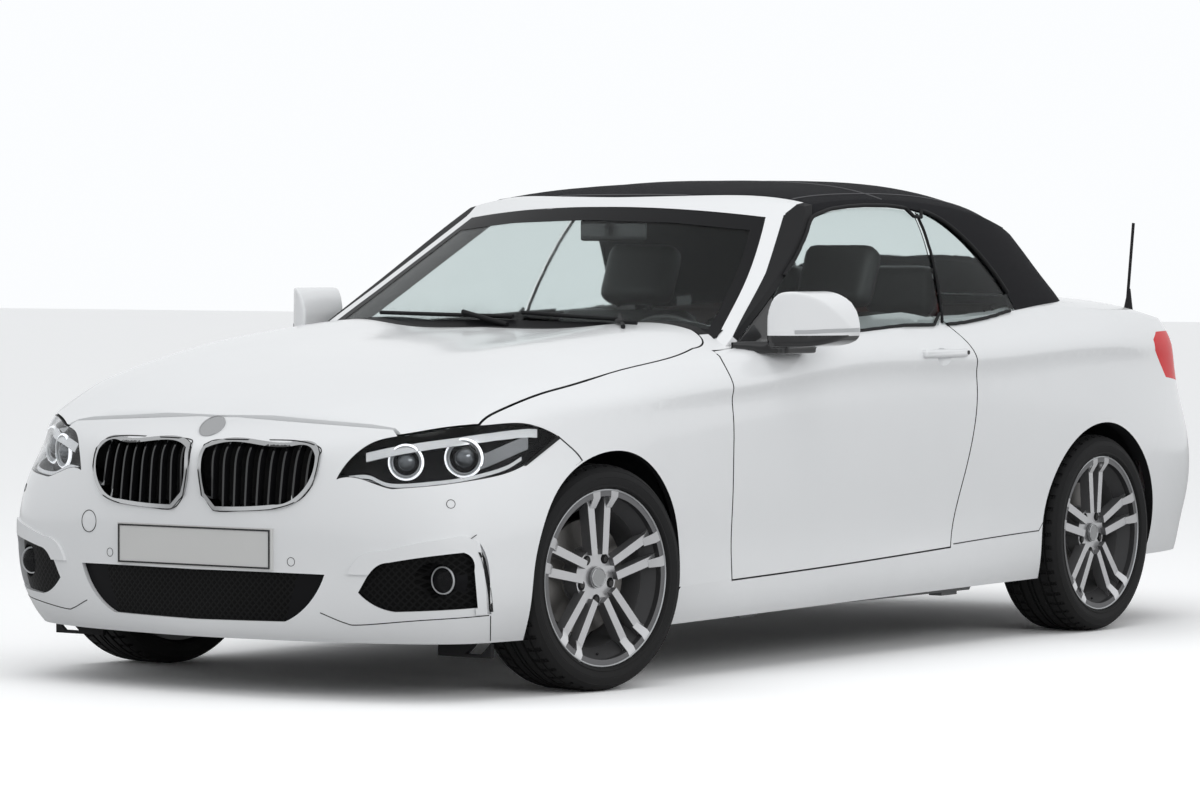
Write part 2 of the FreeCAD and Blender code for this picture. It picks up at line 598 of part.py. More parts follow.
front_arch = across(FRONT_AXLE_X, AXLE_HEIGHT, ARCH_LIP_RADIUS, FRONT_WELL_INNER, REACH)
rear_arch = across(REAR_AXLE_X, AXLE_HEIGHT, REAR_ARCH_LIP_RADIUS, REAR_WELL_INNER, REACH)
cabin_opening = prism(CABIN_OPENING_SHARES, "plan", 0, AXLE_HEIGHT, DEEP)
door_hole = prism(DOOR_SHARES, "side", PANEL_GAP, 0, REACH)
bonnet_hole = prism(BONNET_SHARES, "plan", PANEL_GAP, BONNET_FOOT_SHARE * HEIGHT, DEEP)
boot_hole = prism(BOOT_LID_SHARES, "plan", PANEL_GAP, AXLE_HEIGHT, DEEP).cut(
    box(-LENGTH, 0, 0, REACH, 0, REAR_BUMPER_SHARES[5][0][1] * HEIGHT))
boot_fill = prism(BOOT_LID_SHARES, "plan", 0, AXLE_HEIGHT, DEEP).cut(
    box(-LENGTH, 0, 0, REACH, 0, REAR_BUMPER_SHARES[5][0][1] * HEIGHT + PANEL_GAP))


def turned_prism(stretches, gap):
    """Block with an outline drawn across the lamps' direction, swept inwards along it."""
    block = prism(stretches, "front", gap, FRONT_AXLE_X + FRONT_OVERHANG / 2, FRONT_AXLE_X + LENGTH / 2)
    return block.rotate(V(FRONT_AXLE_X, 0, 0), V(0, 0, 1), HEADLAMP_TURN)


headlamp_hole = turned_prism(HEADLAMP_SHARES, LAMP_GAP)
skirt_block = prism(SKIRT_SHARES, "side", 0, HALF_WIDTH / 2, REACH)
front_bumper_block = prism(FRONT_BUMPER_SHARES, "side", 0, 0, REACH)
rear_bumper_block = prism(REAR_BUMPER_SHARES, "side", 0, 0, REACH)
cowl_block = prism(COWL_SHARES, "plan", 0, AXLE_HEIGHT, DEEP)
deck_block = prism(DECK_SHARES, "plan", 0, AXLE_HEIGHT, DEEP)
tail_lamp_block = prism(TAIL_LAMP_REAR_SHARES, "front", 0, -LENGTH, 0).common(
    prism(TAIL_LAMP_SIDE_SHARES, "side", 0, 0, REACH))
lid_lamp_block = prism(LID_LAMP_SHARES, "front", 0, -LENGTH, 0)
skirt_line = SKIRT_SHARES[1][0][1] * HEIGHT

# Wing, from the door to the bumper, with the corner that carries the screen frame's foot
wing = skin_shell.common(box(REAR_AXLE_X, LENGTH / 2, HALF_WIDTH * WING_INNER_SHARE, REACH, 0, HEIGHT))
for cutter in (front_arch, door_hole, bonnet_hole, front_bumper_block, headlamp_hole, cowl_block, skirt_block,
               box(REAR_AXLE_X, x_at(DOOR_SHARES[0][0][0]), 0, REACH, 0, HEIGHT),
               box(REAR_AXLE_X, LENGTH / 2, 0, REACH, 0, skirt_line)):
    wing = wing.cut(cutter)
corner_rear, corner_outer = x_at(WING_CORNER_REAR_SHARE), WING_CORNER_OUTER_SHARE * HALF_WIDTH
corner_foot = WING_CORNER_FOOT_SHARE * HEIGHT
wing_corner = skin_shell.common(box(corner_rear, x_at(DOOR_SHARES[0][0][0]) + SKIN, 0, corner_outer,
                                    corner_foot, HEIGHT))
wing = solids_only(wing.fuse(wing_corner.cut(bonnet_hole).cut(cowl_block)))

# Bumper with its openings
bumper = bumper_shell.common(front_bumper_block)
kidney_hole = prism(KIDNEY_SHARES, "front", 0, FRONT_AXLE_X, LENGTH)
intake_hole = prism(INTAKE_SHARES, "front", 0, FRONT_AXLE_X, LENGTH)
fog_hole = turned_prism(FOG_OPENING_SHARES, 0)
proud_body = body_half(-TRIM_RISE)
bezel = proud_body.cut(body_half(SKIN)).common(turned_prism(FOG_BEZEL_SHARES, 0))
bumper = bumper.fuse(bezel)
for cutter in (front_arch, prism(BONNET_SHARES, "plan", LID_GAP, AXLE_HEIGHT, DEEP), headlamp_hole,
               kidney_hole, intake_hole, fog_hole, turned_prism(FOG_SLOT_SHARES, 0).cut(trim_inside)):
    bumper = bumper.cut(cutter)
front_bumper = whole(main_solid(bumper))

# Bonnet
bonnet_half = top_skin.common(prism(BONNET_SHARES, "plan", 0, AXLE_HEIGHT, DEEP))
bonnet = whole(main_solid(bonnet_half.cut(turned_prism(HEADLAMP_SHARES, PANEL_GAP))))

# Door: an outer skin, and an inner part set back from its edges
body_inside = body_wall(DOOR_DEPTH)
door_block = prism(DOOR_SHARES, "side", 0, 0, REACH)
door_core = prism(DOOR_SHARES, "side", -DOOR_STEP, 0, REACH)
door_side = body.cut(body_inside).common(door_block)
door = door_side.cut(body_wall(LID_WALL)).fuse(door_side.common(door_core))
door = door.cut(prism(BONNET_SHARES, "plan", PANEL_GAP, AXLE_HEIGHT, DEEP))
door = door.cut(prism(COWL_SHARES, "plan", PANEL_GAP, AXLE_HEIGHT, DEEP))
door = door.cut(box(corner_rear - PANEL_GAP, LENGTH / 2, 0, corner_outer + PANEL_GAP,
                    corner_foot - PANEL_GAP, HEIGHT))
handle_middle = x_at(DISH_SHARE)
door = door.cut(Part.makeSphere(DISH_RADIUS, V(handle_middle, DISH_Y, HANDLE_FOOT + HANDLE_HEIGHT / 2)))
handle = box(x_at(HANDLE_REAR_SHARE), x_at(HANDLE_FRONT_SHARE), HANDLE_INNER, HANDLE_OUTER, HANDLE_FOOT,
             HANDLE_FOOT + HANDLE_HEIGHT)
handle = handle.makeFillet(HANDLE_ROUND, handle.Edges)
handle = handle.cut(box(handle_middle - FINGER_ROOM, handle_middle + FINGER_ROOM,
                        0, HANDLE_OUTER - HANDLE_WALL, 0, HEIGHT))
door = main_solid(door.fuse(handle))
cabin = cabin_half(0)
behind_frame = screen_half(FRAME_WALL + PANEL_GAP)
side_glass_shell = cabin.cut(cabin_half(GLASS_WALL)).common(behind_frame).cut(body)
door_glass = main_solid(side_glass_shell.common(prism(DOOR_GLASS_SHARES, "side", 0, 0, REACH)))
quarter_glass = main_solid(side_glass_shell.common(prism(QUARTER_GLASS_SHARES, "side", 0, 0, REACH)))
mirror_sail = main_solid(side_glass_shell.common(prism(SAIL_SHARES, "side", 0, 0, REACH)))

# Rear quarter, from the door to the rear bumper
quarter = quarter_shell.common(box(-LENGTH / 2 - OVERRUN, x_at(QUARTER_START_SHARE), 0, REACH, 0, HEIGHT))
for cutter in (rear_arch, door_hole, cabin_opening, rear_bumper_block, deck_block, boot_hole, tail_lamp_block,
               skirt_block, box(-LENGTH, LENGTH, 0, REACH, 0, skirt_line)):
    quarter = quarter.cut(cutter)
quarter = solids_only(quarter)
rear_bumper = whole(solids_only(bumper_shell.common(rear_bumper_block).cut(rear_arch).cut(tail_lamp_block)))
rear_deck = whole(solids_only(top_shell.common(deck_block).cut(cabin_opening).cut(boot_hole)))
plate_recess = box(-LENGTH, REAR_AXLE_X, 0, PLATE_WIDTH / 2 + TRIM_DEPTH, REAR_PLATE_FOOT - TRIM_DEPTH,
                   REAR_PLATE_FOOT + PLATE_HEIGHT + TRIM_DEPTH).cut(trim_inside)
boot_lid = whole(solids_only(lid_shell.common(boot_fill).cut(lid_lamp_block).cut(plate_recess)))
lid_lamp = solids_only(lid_shell.common(boot_fill).common(lid_lamp_block))
tail_lamp = solids_only(quarter_shell.common(tail_lamp_block).cut(boot_hole))
headlamp = main_solid(body.cut(body_half(LAMP_DEPTH)).common(turned_prism(HEADLAMP_SHARES, 0)))
skirt = quarter_shell.common(skirt_block)
for cutter in (front_arch, rear_arch, door_hole):
    skirt = skirt.cut(cutter)
skirt = main_solid(skirt)
cowl = whole(solids_only(skin_shell.common(cowl_block).cut(bonnet_hole)))


# Greenhouse: screen frame, glass and the fabric roof
side_opening = prism(SIDE_OPENING_SHARES, "side", PANEL_GAP, HALF_WIDTH / 2, REACH)
screen_front = screen_half(0)
screen_opening = prism(SCREEN_GLASS_SHARES, "front", 0, -LENGTH, LENGTH)
frame_slab = cabin.common(screen_front).cut(screen_half(FRAME_WALL))
screen_frame = whole(solids_only(frame_slab.cut(screen_opening).cut(body)))
glass_slab = cabin.common(screen_front).cut(screen_half(GLASS_WALL)).common(screen_opening)
windscreen = whole(solids_only(glass_slab.cut(body)))
fabric_shell = cabin.common(behind_frame).cut(cabin_half(FABRIC_WALL))
rear_window_block = prism(REAR_WINDOW_SHARES, "plan", 0, DECK_LEVEL_SHARE * HEIGHT, DEEP)
soft_top = whole(solids_only(fabric_shell.cut(side_opening).cut(rear_window_block).cut(body)))
rear_window = whole(solids_only(cabin.cut(cabin_half(GLASS_WALL)).common(rear_window_block).cut(body)))

# Wheels, built round X = 0 with the axle along Y and the outer face towards +Y
WHEEL_HALF_WIDTH = 98
RIM_WALL = 9
RIM_DROP = 30
HUB_RADIUS = 78
HUB_FACE = 62
HUB_DEPTH = 46
CAP_RADIUS = 30
BOLT_CIRCLE_RADIUS = 60
BOLT_HOLE_RADIUS = 14
SPOKE_PAIRS = 5
SPOKE_DEPTH = 34
SPOKE_FACE = 80
DISC_RADIUS = 156
DISC_WALL = 22
DISC_FACE = 14
DISC_HAT_RADIUS = 84
TYRE_SHOULDER = 34
TYRE_BEAD = 232
BEAD_GAP = 1
SPOKE_SHARES = ((0.26, 0.038), (0.82, 0.084), (0.94, 0.074), (0.915, 0.236), (0.84, 0.190), (0.26, 0.132))


def ring(profile):
    """Turned piece: profile points are radius and place along the axle."""
    points = [V(radius, place, 0) for radius, place in profile]
    return Part.Face(Part.makePolygon(points + points[:1])).revolve(V(0, 0, 0), V(0, 1, 0), 360)


def tyre_section():
    half = TYRE_WIDTH / 2
    inner = WHEEL_HALF_WIDTH - RIM_WALL
    wall = TYRE_SHOULDER / 2
    lip = RIM_RADIUS + BEAD_GAP
    side = [(TYRE_BEAD, inner - BEAD_GAP), (lip, inner - BEAD_GAP), (lip, WHEEL_HALF_WIDTH),
            (TYRE_BEAD + wall, half), (TYRE_RADIUS - TYRE_SHOULDER, half)]
    outer = [V(radius, place, 0) for radius, place in side]
    inner_side = [V(radius, -place, 0) for radius, place in reversed(side)]
    tread = [V(TYRE_RADIUS, half - TYRE_SHOULDER, 0), V(TYRE_RADIUS, TYRE_SHOULDER - half, 0)]
    crown = V(TYRE_RADIUS - TYRE_SHOULDER * CORNER_SHARE, half - TYRE_SHOULDER * CORNER_SHARE, 0)
    low_crown = V(crown.x, -crown.y, 0)
    edges = [Part.Arc(outer[-1], crown, tread[0]).toShape(), Part.makeLine(tread[0], tread[1]),
             Part.Arc(tread[1], low_crown, inner_side[0]).toShape(), Part.makeLine(inner_side[-1], outer[0])]
    for run in (outer, inner_side):
        edges += [Part.makeLine(a, b) for a, b in zip(run, run[1:])]
    return Part.Face(Part.Wire(Part.sortEdges(edges)[0]))


def rim_solid():
    flange = RIM_RADIUS
    bead = TYRE_BEAD
    drop = bead - RIM_DROP
    edge = WHEEL_HALF_WIDTH
    seat = edge - 2 * RIM_WALL
    outer = [(flange, edge), (flange, edge - RIM_WALL), (bead, edge - RIM_WALL), (bead, seat),
             (drop, seat - RIM_DROP), (drop, RIM_DROP - seat), (bead, -seat), (bead, RIM_WALL - edge),
             (flange, RIM_WALL - edge), (flange, -edge)]
    inner = [(bead - RIM_WALL, -edge), (bead - RIM_WALL, -seat), (drop - RIM_WALL, RIM_DROP - seat),
             (drop - RIM_WALL, seat - RIM_DROP), (bead - RIM_WALL, seat), (bead - RIM_WALL, edge)]
    return ring(outer + inner)


def wheel_solid():
    """Rim, five pairs of spokes, hub and brake disc in one piece."""
    hub = across(0, 0, HUB_RADIUS, HUB_FACE - HUB_DEPTH, HUB_FACE)
    spokes = []
    for pair in range(SPOKE_PAIRS):
        for side in (1, -1):
            points = [V(side * t * RIM_RADIUS, SPOKE_FACE - SPOKE_DEPTH, r * RIM_RADIUS)
                      for r, t in SPOKE_SHARES]
            spoke = Part.Face(Part.makePolygon(points + points[:1])).extrude(V(0, SPOKE_DEPTH, 0))
            spokes.append(spoke.rotate(V(0, 0, 0), V(0, 1, 0), pair * 360 / SPOKE_PAIRS))
    wheel = rim_solid().fuse([hub] + spokes)
    for hole in range(SPOKE_PAIRS):
        angle = math.radians((hole + 0.5) * 360 / SPOKE_PAIRS)
        x, z = BOLT_CIRCLE_RADIUS * math.sin(angle), BOLT_CIRCLE_RADIUS * math.cos(angle)
        wheel = wheel.cut(across(x, z, BOLT_HOLE_RADIUS, HUB_FACE - HUB_DEPTH / 2, HUB_FACE + HUB_DEPTH))
    cap = across(0, 0, CAP_RADIUS, HUB_FACE - HUB_DEPTH / 2, SPOKE_FACE - RIM_WALL)
    hat = across(0, 0, DISC_HAT_RADIUS, DISC_FACE - DISC_WALL, HUB_FACE - HUB_DEPTH)
    disc = across(0, 0, DISC_RADIUS, DISC_FACE - DISC_WALL, DISC_FACE)
    return wheel.fuse([cap, hat, disc]).removeSplitter()


left_wheel = wheel_solid()
left_tyre = tyre_section().revolve(V(0, 0, 0), V(0, 1, 0), 360)
right_wheel = mirrored(left_wheel)
right_tyre = mirrored(left_tyre)

# Steering: each front wheel turns about a line from its lower joint to its strut top
KINGPIN_FOOT_INSET = 55
KINGPIN_FOOT_HEIGHT = 190
KINGPIN_TOP_INSET = 185
KINGPIN_TOP_HEIGHT = 800
kingpin_foot = V(FRONT_AXLE_X, FRONT_TRACK / 2 - KINGPIN_FOOT_INSET, KINGPIN_FOOT_HEIGHT)
kingpin_top = V(FRONT_AXLE_X, FRONT_TRACK / 2 - KINGPIN_TOP_INSET, KINGPIN_TOP_HEIGHT)


def steered(shape, side):
    """Turn a front corner piece about its own steering line to the parked angle."""
    foot = V(kingpin_foot.x, side * kingpin_foot.y, kingpin_foot.z)
    line = V(0, side * (kingpin_top.y - kingpin_foot.y), kingpin_top.z - kingpin_foot.z)
    turned = shape.copy()
    turned.rotate(foot, line, PARKED_STEER)
    return turned


def placed(shape, x, y):
    moved = shape.copy()
    moved.translate(V(x, y, AXLE_HEIGHT))
    return moved


def rod(start, end, radius):
    return Part.makeCylinder(radius, start.distanceToPoint(end), start, end - start)


def along(share):
    """Point on the left steering line."""
    return kingpin_foot + (kingpin_top - kingpin_foot) * share


KNUCKLE_RADIUS = 34
STUB_RADIUS = 30
STRUT_RADIUS = 19
SPRING_RADIUS = 60
SPRING_FOOT_SHARE = 0.80
KNUCKLE_FOOT_SHARE = 0.03
KNUCKLE_TOP_SHARE = 0.36
STRUT_FOOT_SHARE = 0.30
STRUT_MIDDLE_SHARE = 0.5
STRUT_ROOM_SHARE = 1.1
STRUT_TOP_SHARE = 0.98
JOINT_GAP = 1
CALIPER_LENGTH = 150
CALIPER_WALL = 26
carrier_y = FRONT_TRACK / 2 + DISC_FACE - DISC_WALL - 2 * PANEL_GAP
knuckle_left = rod(along(KNUCKLE_FOOT_SHARE), along(KNUCKLE_TOP_SHARE), KNUCKLE_RADIUS).fuse([
    across(FRONT_AXLE_X, AXLE_HEIGHT, 2 * STUB_RADIUS, carrier_y - 2 * STUB_RADIUS, carrier_y),
    rod(along(STRUT_FOOT_SHARE), along(STRUT_TOP_SHARE), STRUT_RADIUS),
    rod(along(SPRING_FOOT_SHARE), along(STRUT_TOP_SHARE), SPRING_RADIUS)]).removeSplitter()

# Chassis
FLOOR_TOP = 182
FLOOR_WALL = 22
SILL_INNER = 690
SILL_TOP = 258
TUNNEL_WIDTH = 230
TUNNEL_TOP = 330
REAR_FLOOR_TOP = 350
BULKHEAD_WALL = 24
RAIL_WIDTH = 60
RAIL_HEIGHT = 90
RAIL_OUTER = 448
RAIL_FLOOR = 390
TOWER_RADIUS = 95
TOWER_WALL = 16
BOOT_HALF_WIDTH = 530
PANEL_TOP = 850
TAIL_PANEL_TOP = 680
FIREWALL_SHARE = 0.800
SEAT_BACK_SHARE = 0.055
TAIL_PANEL_SHARE = -0.870
FLOOR_START_SHARE = 0.860
REAR_KICK_SHARE = 0.235
BAY_FRONT_SHARE = 1.780
JACK_PAD = 45
JACK_PAD_WALL = 12
JACK_FRONT_SHARE = 0.6855
JACK_REAR_SHARE = 0.269
firewall_x = x_at(FIREWALL_SHARE)
seat_back_x = x_at(SEAT_BACK_SHARE)
tail_panel_x = x_at(TAIL_PANEL_SHARE)
floor_start_x = x_at(FLOOR_START_SHARE)
rear_kick_x = x_at(REAR_KICK_SHARE)
bay_front_x = x_at(BAY_FRONT_SHARE)
floor_foot = FLOOR_TOP - FLOOR_WALL

# Floor, sills, tunnel, boot tub and the bulkheads that close the cabin
floor_parts = [
    box(rear_kick_x, floor_start_x, 0, SILL_INNER, floor_foot, FLOOR_TOP),
    box(rear_kick_x, floor_start_x, SILL_INNER, HALF_WIDTH * SILL_OUTER_SHARE, floor_foot, SILL_TOP),
    box(rear_kick_x - BULKHEAD_WALL, rear_kick_x, 0, SILL_INNER + FLOOR_WALL, floor_foot, REAR_FLOOR_TOP),
    box(tail_panel_x, rear_kick_x, 0, BOOT_HALF_WIDTH, REAR_FLOOR_TOP - FLOOR_WALL, REAR_FLOOR_TOP),
    box(seat_back_x - BULKHEAD_WALL, seat_back_x, 0, BOOT_HALF_WIDTH, REAR_FLOOR_TOP, PANEL_TOP),
    box(tail_panel_x, tail_panel_x + BULKHEAD_WALL, 0, BOOT_HALF_WIDTH, REAR_FLOOR_TOP, TAIL_PANEL_TOP),
    box(tail_panel_x, seat_back_x, BOOT_HALF_WIDTH - FLOOR_WALL, BOOT_HALF_WIDTH, REAR_FLOOR_TOP, PANEL_TOP)]
jack_pads = [box(x_at(share) - JACK_PAD, x_at(share) + JACK_PAD, SILL_INNER + JACK_PAD_WALL,
                 SILL_INNER + JACK_PAD_WALL + JACK_PAD, floor_foot - JACK_PAD_WALL, floor_foot)
             for share in (JACK_FRONT_SHARE, JACK_REAR_SHARE)]
tunnel = box(rear_kick_x, firewall_x, 0, TUNNEL_WIDTH / 2, FLOOR_TOP, TUNNEL_TOP)
tunnel_hollow = box(rear_kick_x - OVERRUN, floor_start_x + OVERRUN, 0, TUNNEL_WIDTH / 2 - FLOOR_WALL,
                    0, TUNNEL_TOP - FLOOR_WALL)
floor_half = floor_parts[0].fuse(floor_parts[1:] + [tunnel]).cut(tunnel_hollow)
floor_pan = whole(floor_half.common(inside_skin).fuse(jack_pads))

# Front structure: bulkhead, long rails, cross beam and strut towers
tower_top = along(STRUT_TOP_SHARE) + V(0, 0, PANEL_GAP)
front_half = box(firewall_x, firewall_x + BULKHEAD_WALL, 0, SILL_INNER, FLOOR_TOP, PANEL_TOP).fuse([
    box(firewall_x, bay_front_x, RAIL_OUTER - RAIL_WIDTH, RAIL_OUTER, RAIL_FLOOR, RAIL_FLOOR + RAIL_HEIGHT),
    box(bay_front_x - RAIL_WIDTH, bay_front_x, 0, RAIL_OUTER, RAIL_FLOOR, RAIL_FLOOR + RAIL_HEIGHT)])
tower_plate = box(tower_top.x - TOWER_RADIUS, tower_top.x + TOWER_RADIUS, RAIL_OUTER - RAIL_WIDTH,
                  tower_top.y + TOWER_RADIUS, KINGPIN_TOP_HEIGHT + PANEL_GAP,
                  KINGPIN_TOP_HEIGHT + PANEL_GAP + TOWER_WALL)
tower_wall = box(tower_top.x - TOWER_RADIUS, tower_top.x + TOWER_RADIUS, RAIL_OUTER - RAIL_WIDTH,
                 RAIL_OUTER - RAIL_WIDTH + TOWER_WALL, RAIL_FLOOR, KINGPIN_TOP_HEIGHT + PANEL_GAP + TOWER_WALL)
front_half = front_half.fuse([tower_plate, tower_wall]).cut(tunnel_hollow).removeSplitter()
front_structure = whole(front_half.common(inside_skin))


# Black liners over the wheels
def liner(x, radius, inner, outer, foot):
    arch = across(x, AXLE_HEIGHT, radius + LINER_WALL, inner, outer)
    arch = arch.cut(across(x, AXLE_HEIGHT, radius, inner + LINER_WALL, outer + OVERRUN))
    return arch.cut(box(x - LENGTH, x + LENGTH, inner - OVERRUN, outer + OVERRUN, -DEEP, foot))


strut_space = rod(along(STRUT_MIDDLE_SHARE), along(STRUT_ROOM_SHARE), SPRING_RADIUS + STRUT_RADIUS)
hub_space = box(FRONT_AXLE_X - HUB_RADIUS, FRONT_AXLE_X + HUB_RADIUS, 0, SILL_INNER,
                0, AXLE_HEIGHT + HUB_RADIUS)
front_liner = liner(FRONT_AXLE_X, FRONT_LINER_RADIUS, FRONT_WELL_INNER, WELL_OUTER, SILL_TOP)
front_liner = front_liner.cut(strut_space).cut(hub_space)
rear_hub_space = hub_space.copy()
rear_hub_space.translate(V(-WHEELBASE, 0, 0))
rear_liner = liner(REAR_AXLE_X, REAR_LINER_RADIUS, REAR_WELL_INNER, WELL_OUTER, SILL_TOP).cut(rear_hub_space)
deflector = box(x_at(DEFLECTOR_SHARE), x_at(DEFLECTOR_SHARE) + DEFLECTOR_WALL, DEFLECTOR_INNER,
                DEFLECTOR_OUTER, DEFLECTOR_FOOT, DEFLECTOR_TOP).cut(body.cut(inside_skin))
arch_liners = both(Part.makeCompound([solids_only(front_liner.common(inside_skin)),
                                      solids_only(rear_liner.common(inside_skin)), main_solid(deflector)]))

# Front subframe with its lower arms, and the rear subframe with its arms, carriers and calipers
ARM_RADIUS = 17
ARM_ROOT_Y = 330
BEAM_HALF = 45
arm_end = kingpin_foot - V(0, 0, JOINT_GAP)
front_beam = box(FRONT_AXLE_X - 2 * BEAM_HALF, FRONT_AXLE_X + 2 * BEAM_HALF, 0, ARM_ROOT_Y,
                 arm_end.z - BEAM_HALF, arm_end.z + BEAM_HALF / 2)
front_arms = [rod(V(FRONT_AXLE_X - reach, ARM_ROOT_Y - ARM_RADIUS, arm_end.z - ARM_RADIUS),
                  arm_end - V(0, 0, ARM_RADIUS), ARM_RADIUS) for reach in (BEAM_HALF, -BEAM_HALF)]
joint_cup = Part.makeCylinder(KNUCKLE_RADIUS, 2 * ARM_RADIUS, arm_end - V(0, 0, 2 * ARM_RADIUS))
front_post = box(FRONT_AXLE_X - BEAM_HALF, FRONT_AXLE_X + BEAM_HALF, ARM_ROOT_Y - BEAM_HALF, RAIL_OUTER,
                 arm_end.z, RAIL_FLOOR)
front_post = front_post.common(box(FRONT_AXLE_X - BEAM_HALF, FRONT_AXLE_X + BEAM_HALF, 0,
                                   RAIL_OUTER - PANEL_GAP, 0, RAIL_FLOOR))
front_subframe = whole(front_beam.fuse([front_post, joint_cup] + front_arms))

rear_carrier_y = REAR_TRACK / 2 + DISC_FACE - DISC_WALL - 2 * PANEL_GAP
rear_beam = box(REAR_AXLE_X - 2 * BEAM_HALF, REAR_AXLE_X + 2 * BEAM_HALF, 0, ARM_ROOT_Y,
                AXLE_HEIGHT - BEAM_HALF - 2 * PANEL_GAP, REAR_FLOOR_TOP - FLOOR_WALL)
rear_carrier = across(REAR_AXLE_X, AXLE_HEIGHT, 2 * STUB_RADIUS, rear_carrier_y - 2 * STUB_RADIUS,
                      rear_carrier_y)
rear_arms = [rod(V(REAR_AXLE_X + reach, ARM_ROOT_Y - ARM_RADIUS, AXLE_HEIGHT - rise),
                 V(REAR_AXLE_X + reach / 2, rear_carrier_y - STUB_RADIUS, AXLE_HEIGHT - rise / 2), ARM_RADIUS)
             for reach, rise in ((BEAM_HALF, BEAM_HALF), (-BEAM_HALF, BEAM_HALF), (BEAM_HALF, ARM_RADIUS))]


def caliper(x, y_face):
    """Brake caliper that straddles the disc's rim on its inboard side."""
    reach = DISC_RADIUS + PANEL_GAP
    outer = across(0, 0, reach + CALIPER_WALL, y_face - DISC_WALL - PANEL_GAP - CALIPER_WALL,
                   y_face - DISC_WALL - PANEL_GAP)
    outer = outer.cut(across(0, 0, DISC_RADIUS - 2 * CALIPER_WALL, y_face - LENGTH, y_face + LENGTH))
    wedge = box(0, reach + OVERRUN, y_face - HALF_WIDTH, y_face, -CALIPER_LENGTH / 2, CALIPER_LENGTH / 2)
    piece = outer.common(wedge)
    piece.translate(V(x, 0, AXLE_HEIGHT))
    return piece


CALIPER_BRACKET = 30


def caliper_bracket(x, y_face):
    return box(x + STUB_RADIUS, x + DISC_RADIUS - CALIPER_WALL, y_face - DISC_WALL - PANEL_GAP - CALIPER_WALL,
               y_face - DISC_WALL - PANEL_GAP, AXLE_HEIGHT - CALIPER_BRACKET, AXLE_HEIGHT + CALIPER_BRACKET)


front_disc_y = FRONT_TRACK / 2 + DISC_FACE
rear_disc_y = REAR_TRACK / 2 + DISC_FACE
knuckle_left = knuckle_left.fuse([caliper(FRONT_AXLE_X, front_disc_y),
                                  caliper_bracket(FRONT_AXLE_X, front_disc_y)]).removeSplitter()
rear_corner = rear_carrier.fuse(rear_arms + [caliper(REAR_AXLE_X, rear_disc_y),
                                             caliper_bracket(REAR_AXLE_X, rear_disc_y)])
rear_subframe = whole(rear_beam.fuse(rear_corner))

# Engine and gearbox as one mass, and the exhaust
ENGINE_HALF_WIDTH = 190
ENGINE_FLOOR = 250
ENGINE_TOP = 800
ENGINE_FRONT_SHARE = 1.18
EXHAUST_RADIUS = 30
EXHAUST_HEIGHT = 205
SILENCER_LENGTH = 260
TAILPIPE_Y = 470
engine = box(firewall_x + 2 * BULKHEAD_WALL, x_at(ENGINE_FRONT_SHARE), -ENGINE_HALF_WIDTH, ENGINE_HALF_WIDTH,
             ENGINE_FLOOR, ENGINE_TOP)
pipe_bend = V(REAR_AXLE_X + 3 * BEAM_HALF, 0, EXHAUST_HEIGHT)
pipe = rod(V(floor_start_x, 0, EXHAUST_HEIGHT), pipe_bend, EXHAUST_RADIUS)
silencer_x = x_at(SILENCER_SHARE)
silencer = rod(V(silencer_x, -TAILPIPE_Y / 2, EXHAUST_HEIGHT + EXHAUST_RADIUS),
               V(silencer_x, TAILPIPE_Y + EXHAUST_RADIUS, EXHAUST_HEIGHT + EXHAUST_RADIUS),
               3 * EXHAUST_RADIUS)
rear_pipe = rod(pipe_bend, V(silencer_x, 0, EXHAUST_HEIGHT), EXHAUST_RADIUS)
tailpipe_end_x = x_at(TAILPIPE_END_SHARE)
tailpipes = [rod(V(silencer_x, y, EXHAUST_HEIGHT), V(tailpipe_end_x, y, EXHAUST_HEIGHT), EXHAUST_RADIUS)
             for y in (TAILPIPE_Y, TAILPIPE_Y - 3 * EXHAUST_RADIUS)]
exhaust = pipe.fuse([silencer, rear_pipe] + tailpipes).removeSplitter()
for y in (TAILPIPE_Y, TAILPIPE_Y - 3 * EXHAUST_RADIUS):
    rear_bumper = rear_bumper.cut(rod(V(silencer_x, y, EXHAUST_HEIGHT), V(-LENGTH, y, EXHAUST_HEIGHT),
                                      EXHAUST_RADIUS + PANEL_GAP))

# Seats: a cushion and a leaning back with a head restraint
SEAT_Y = 370
SEAT_WIDTH = 500
SEAT_ROUND = 45
CUSHION_LENGTH = 500
CUSHION_FOOT = 270
CUSHION_TOP = 455
BACK_HEIGHT = 715
BACK_WALL = 130
BACK_LEAN = -22
HEADREST_WIDTH = 250
HEADREST_HEIGHT = 195
HEADREST_WALL = 90
HEADREST_GAP = 30
POST_RADIUS = 8
SEAT_FRONT_SHARE = 0.590


def rounded_box(length, width, height):
    """Cushion form centred on Y, rounded on every edge."""
    block = Part.makeBox(length, width, height, V(0, -width / 2, 0))
    return block.makeFillet(min(SEAT_ROUND, height / 3, length / 3), block.Edges)


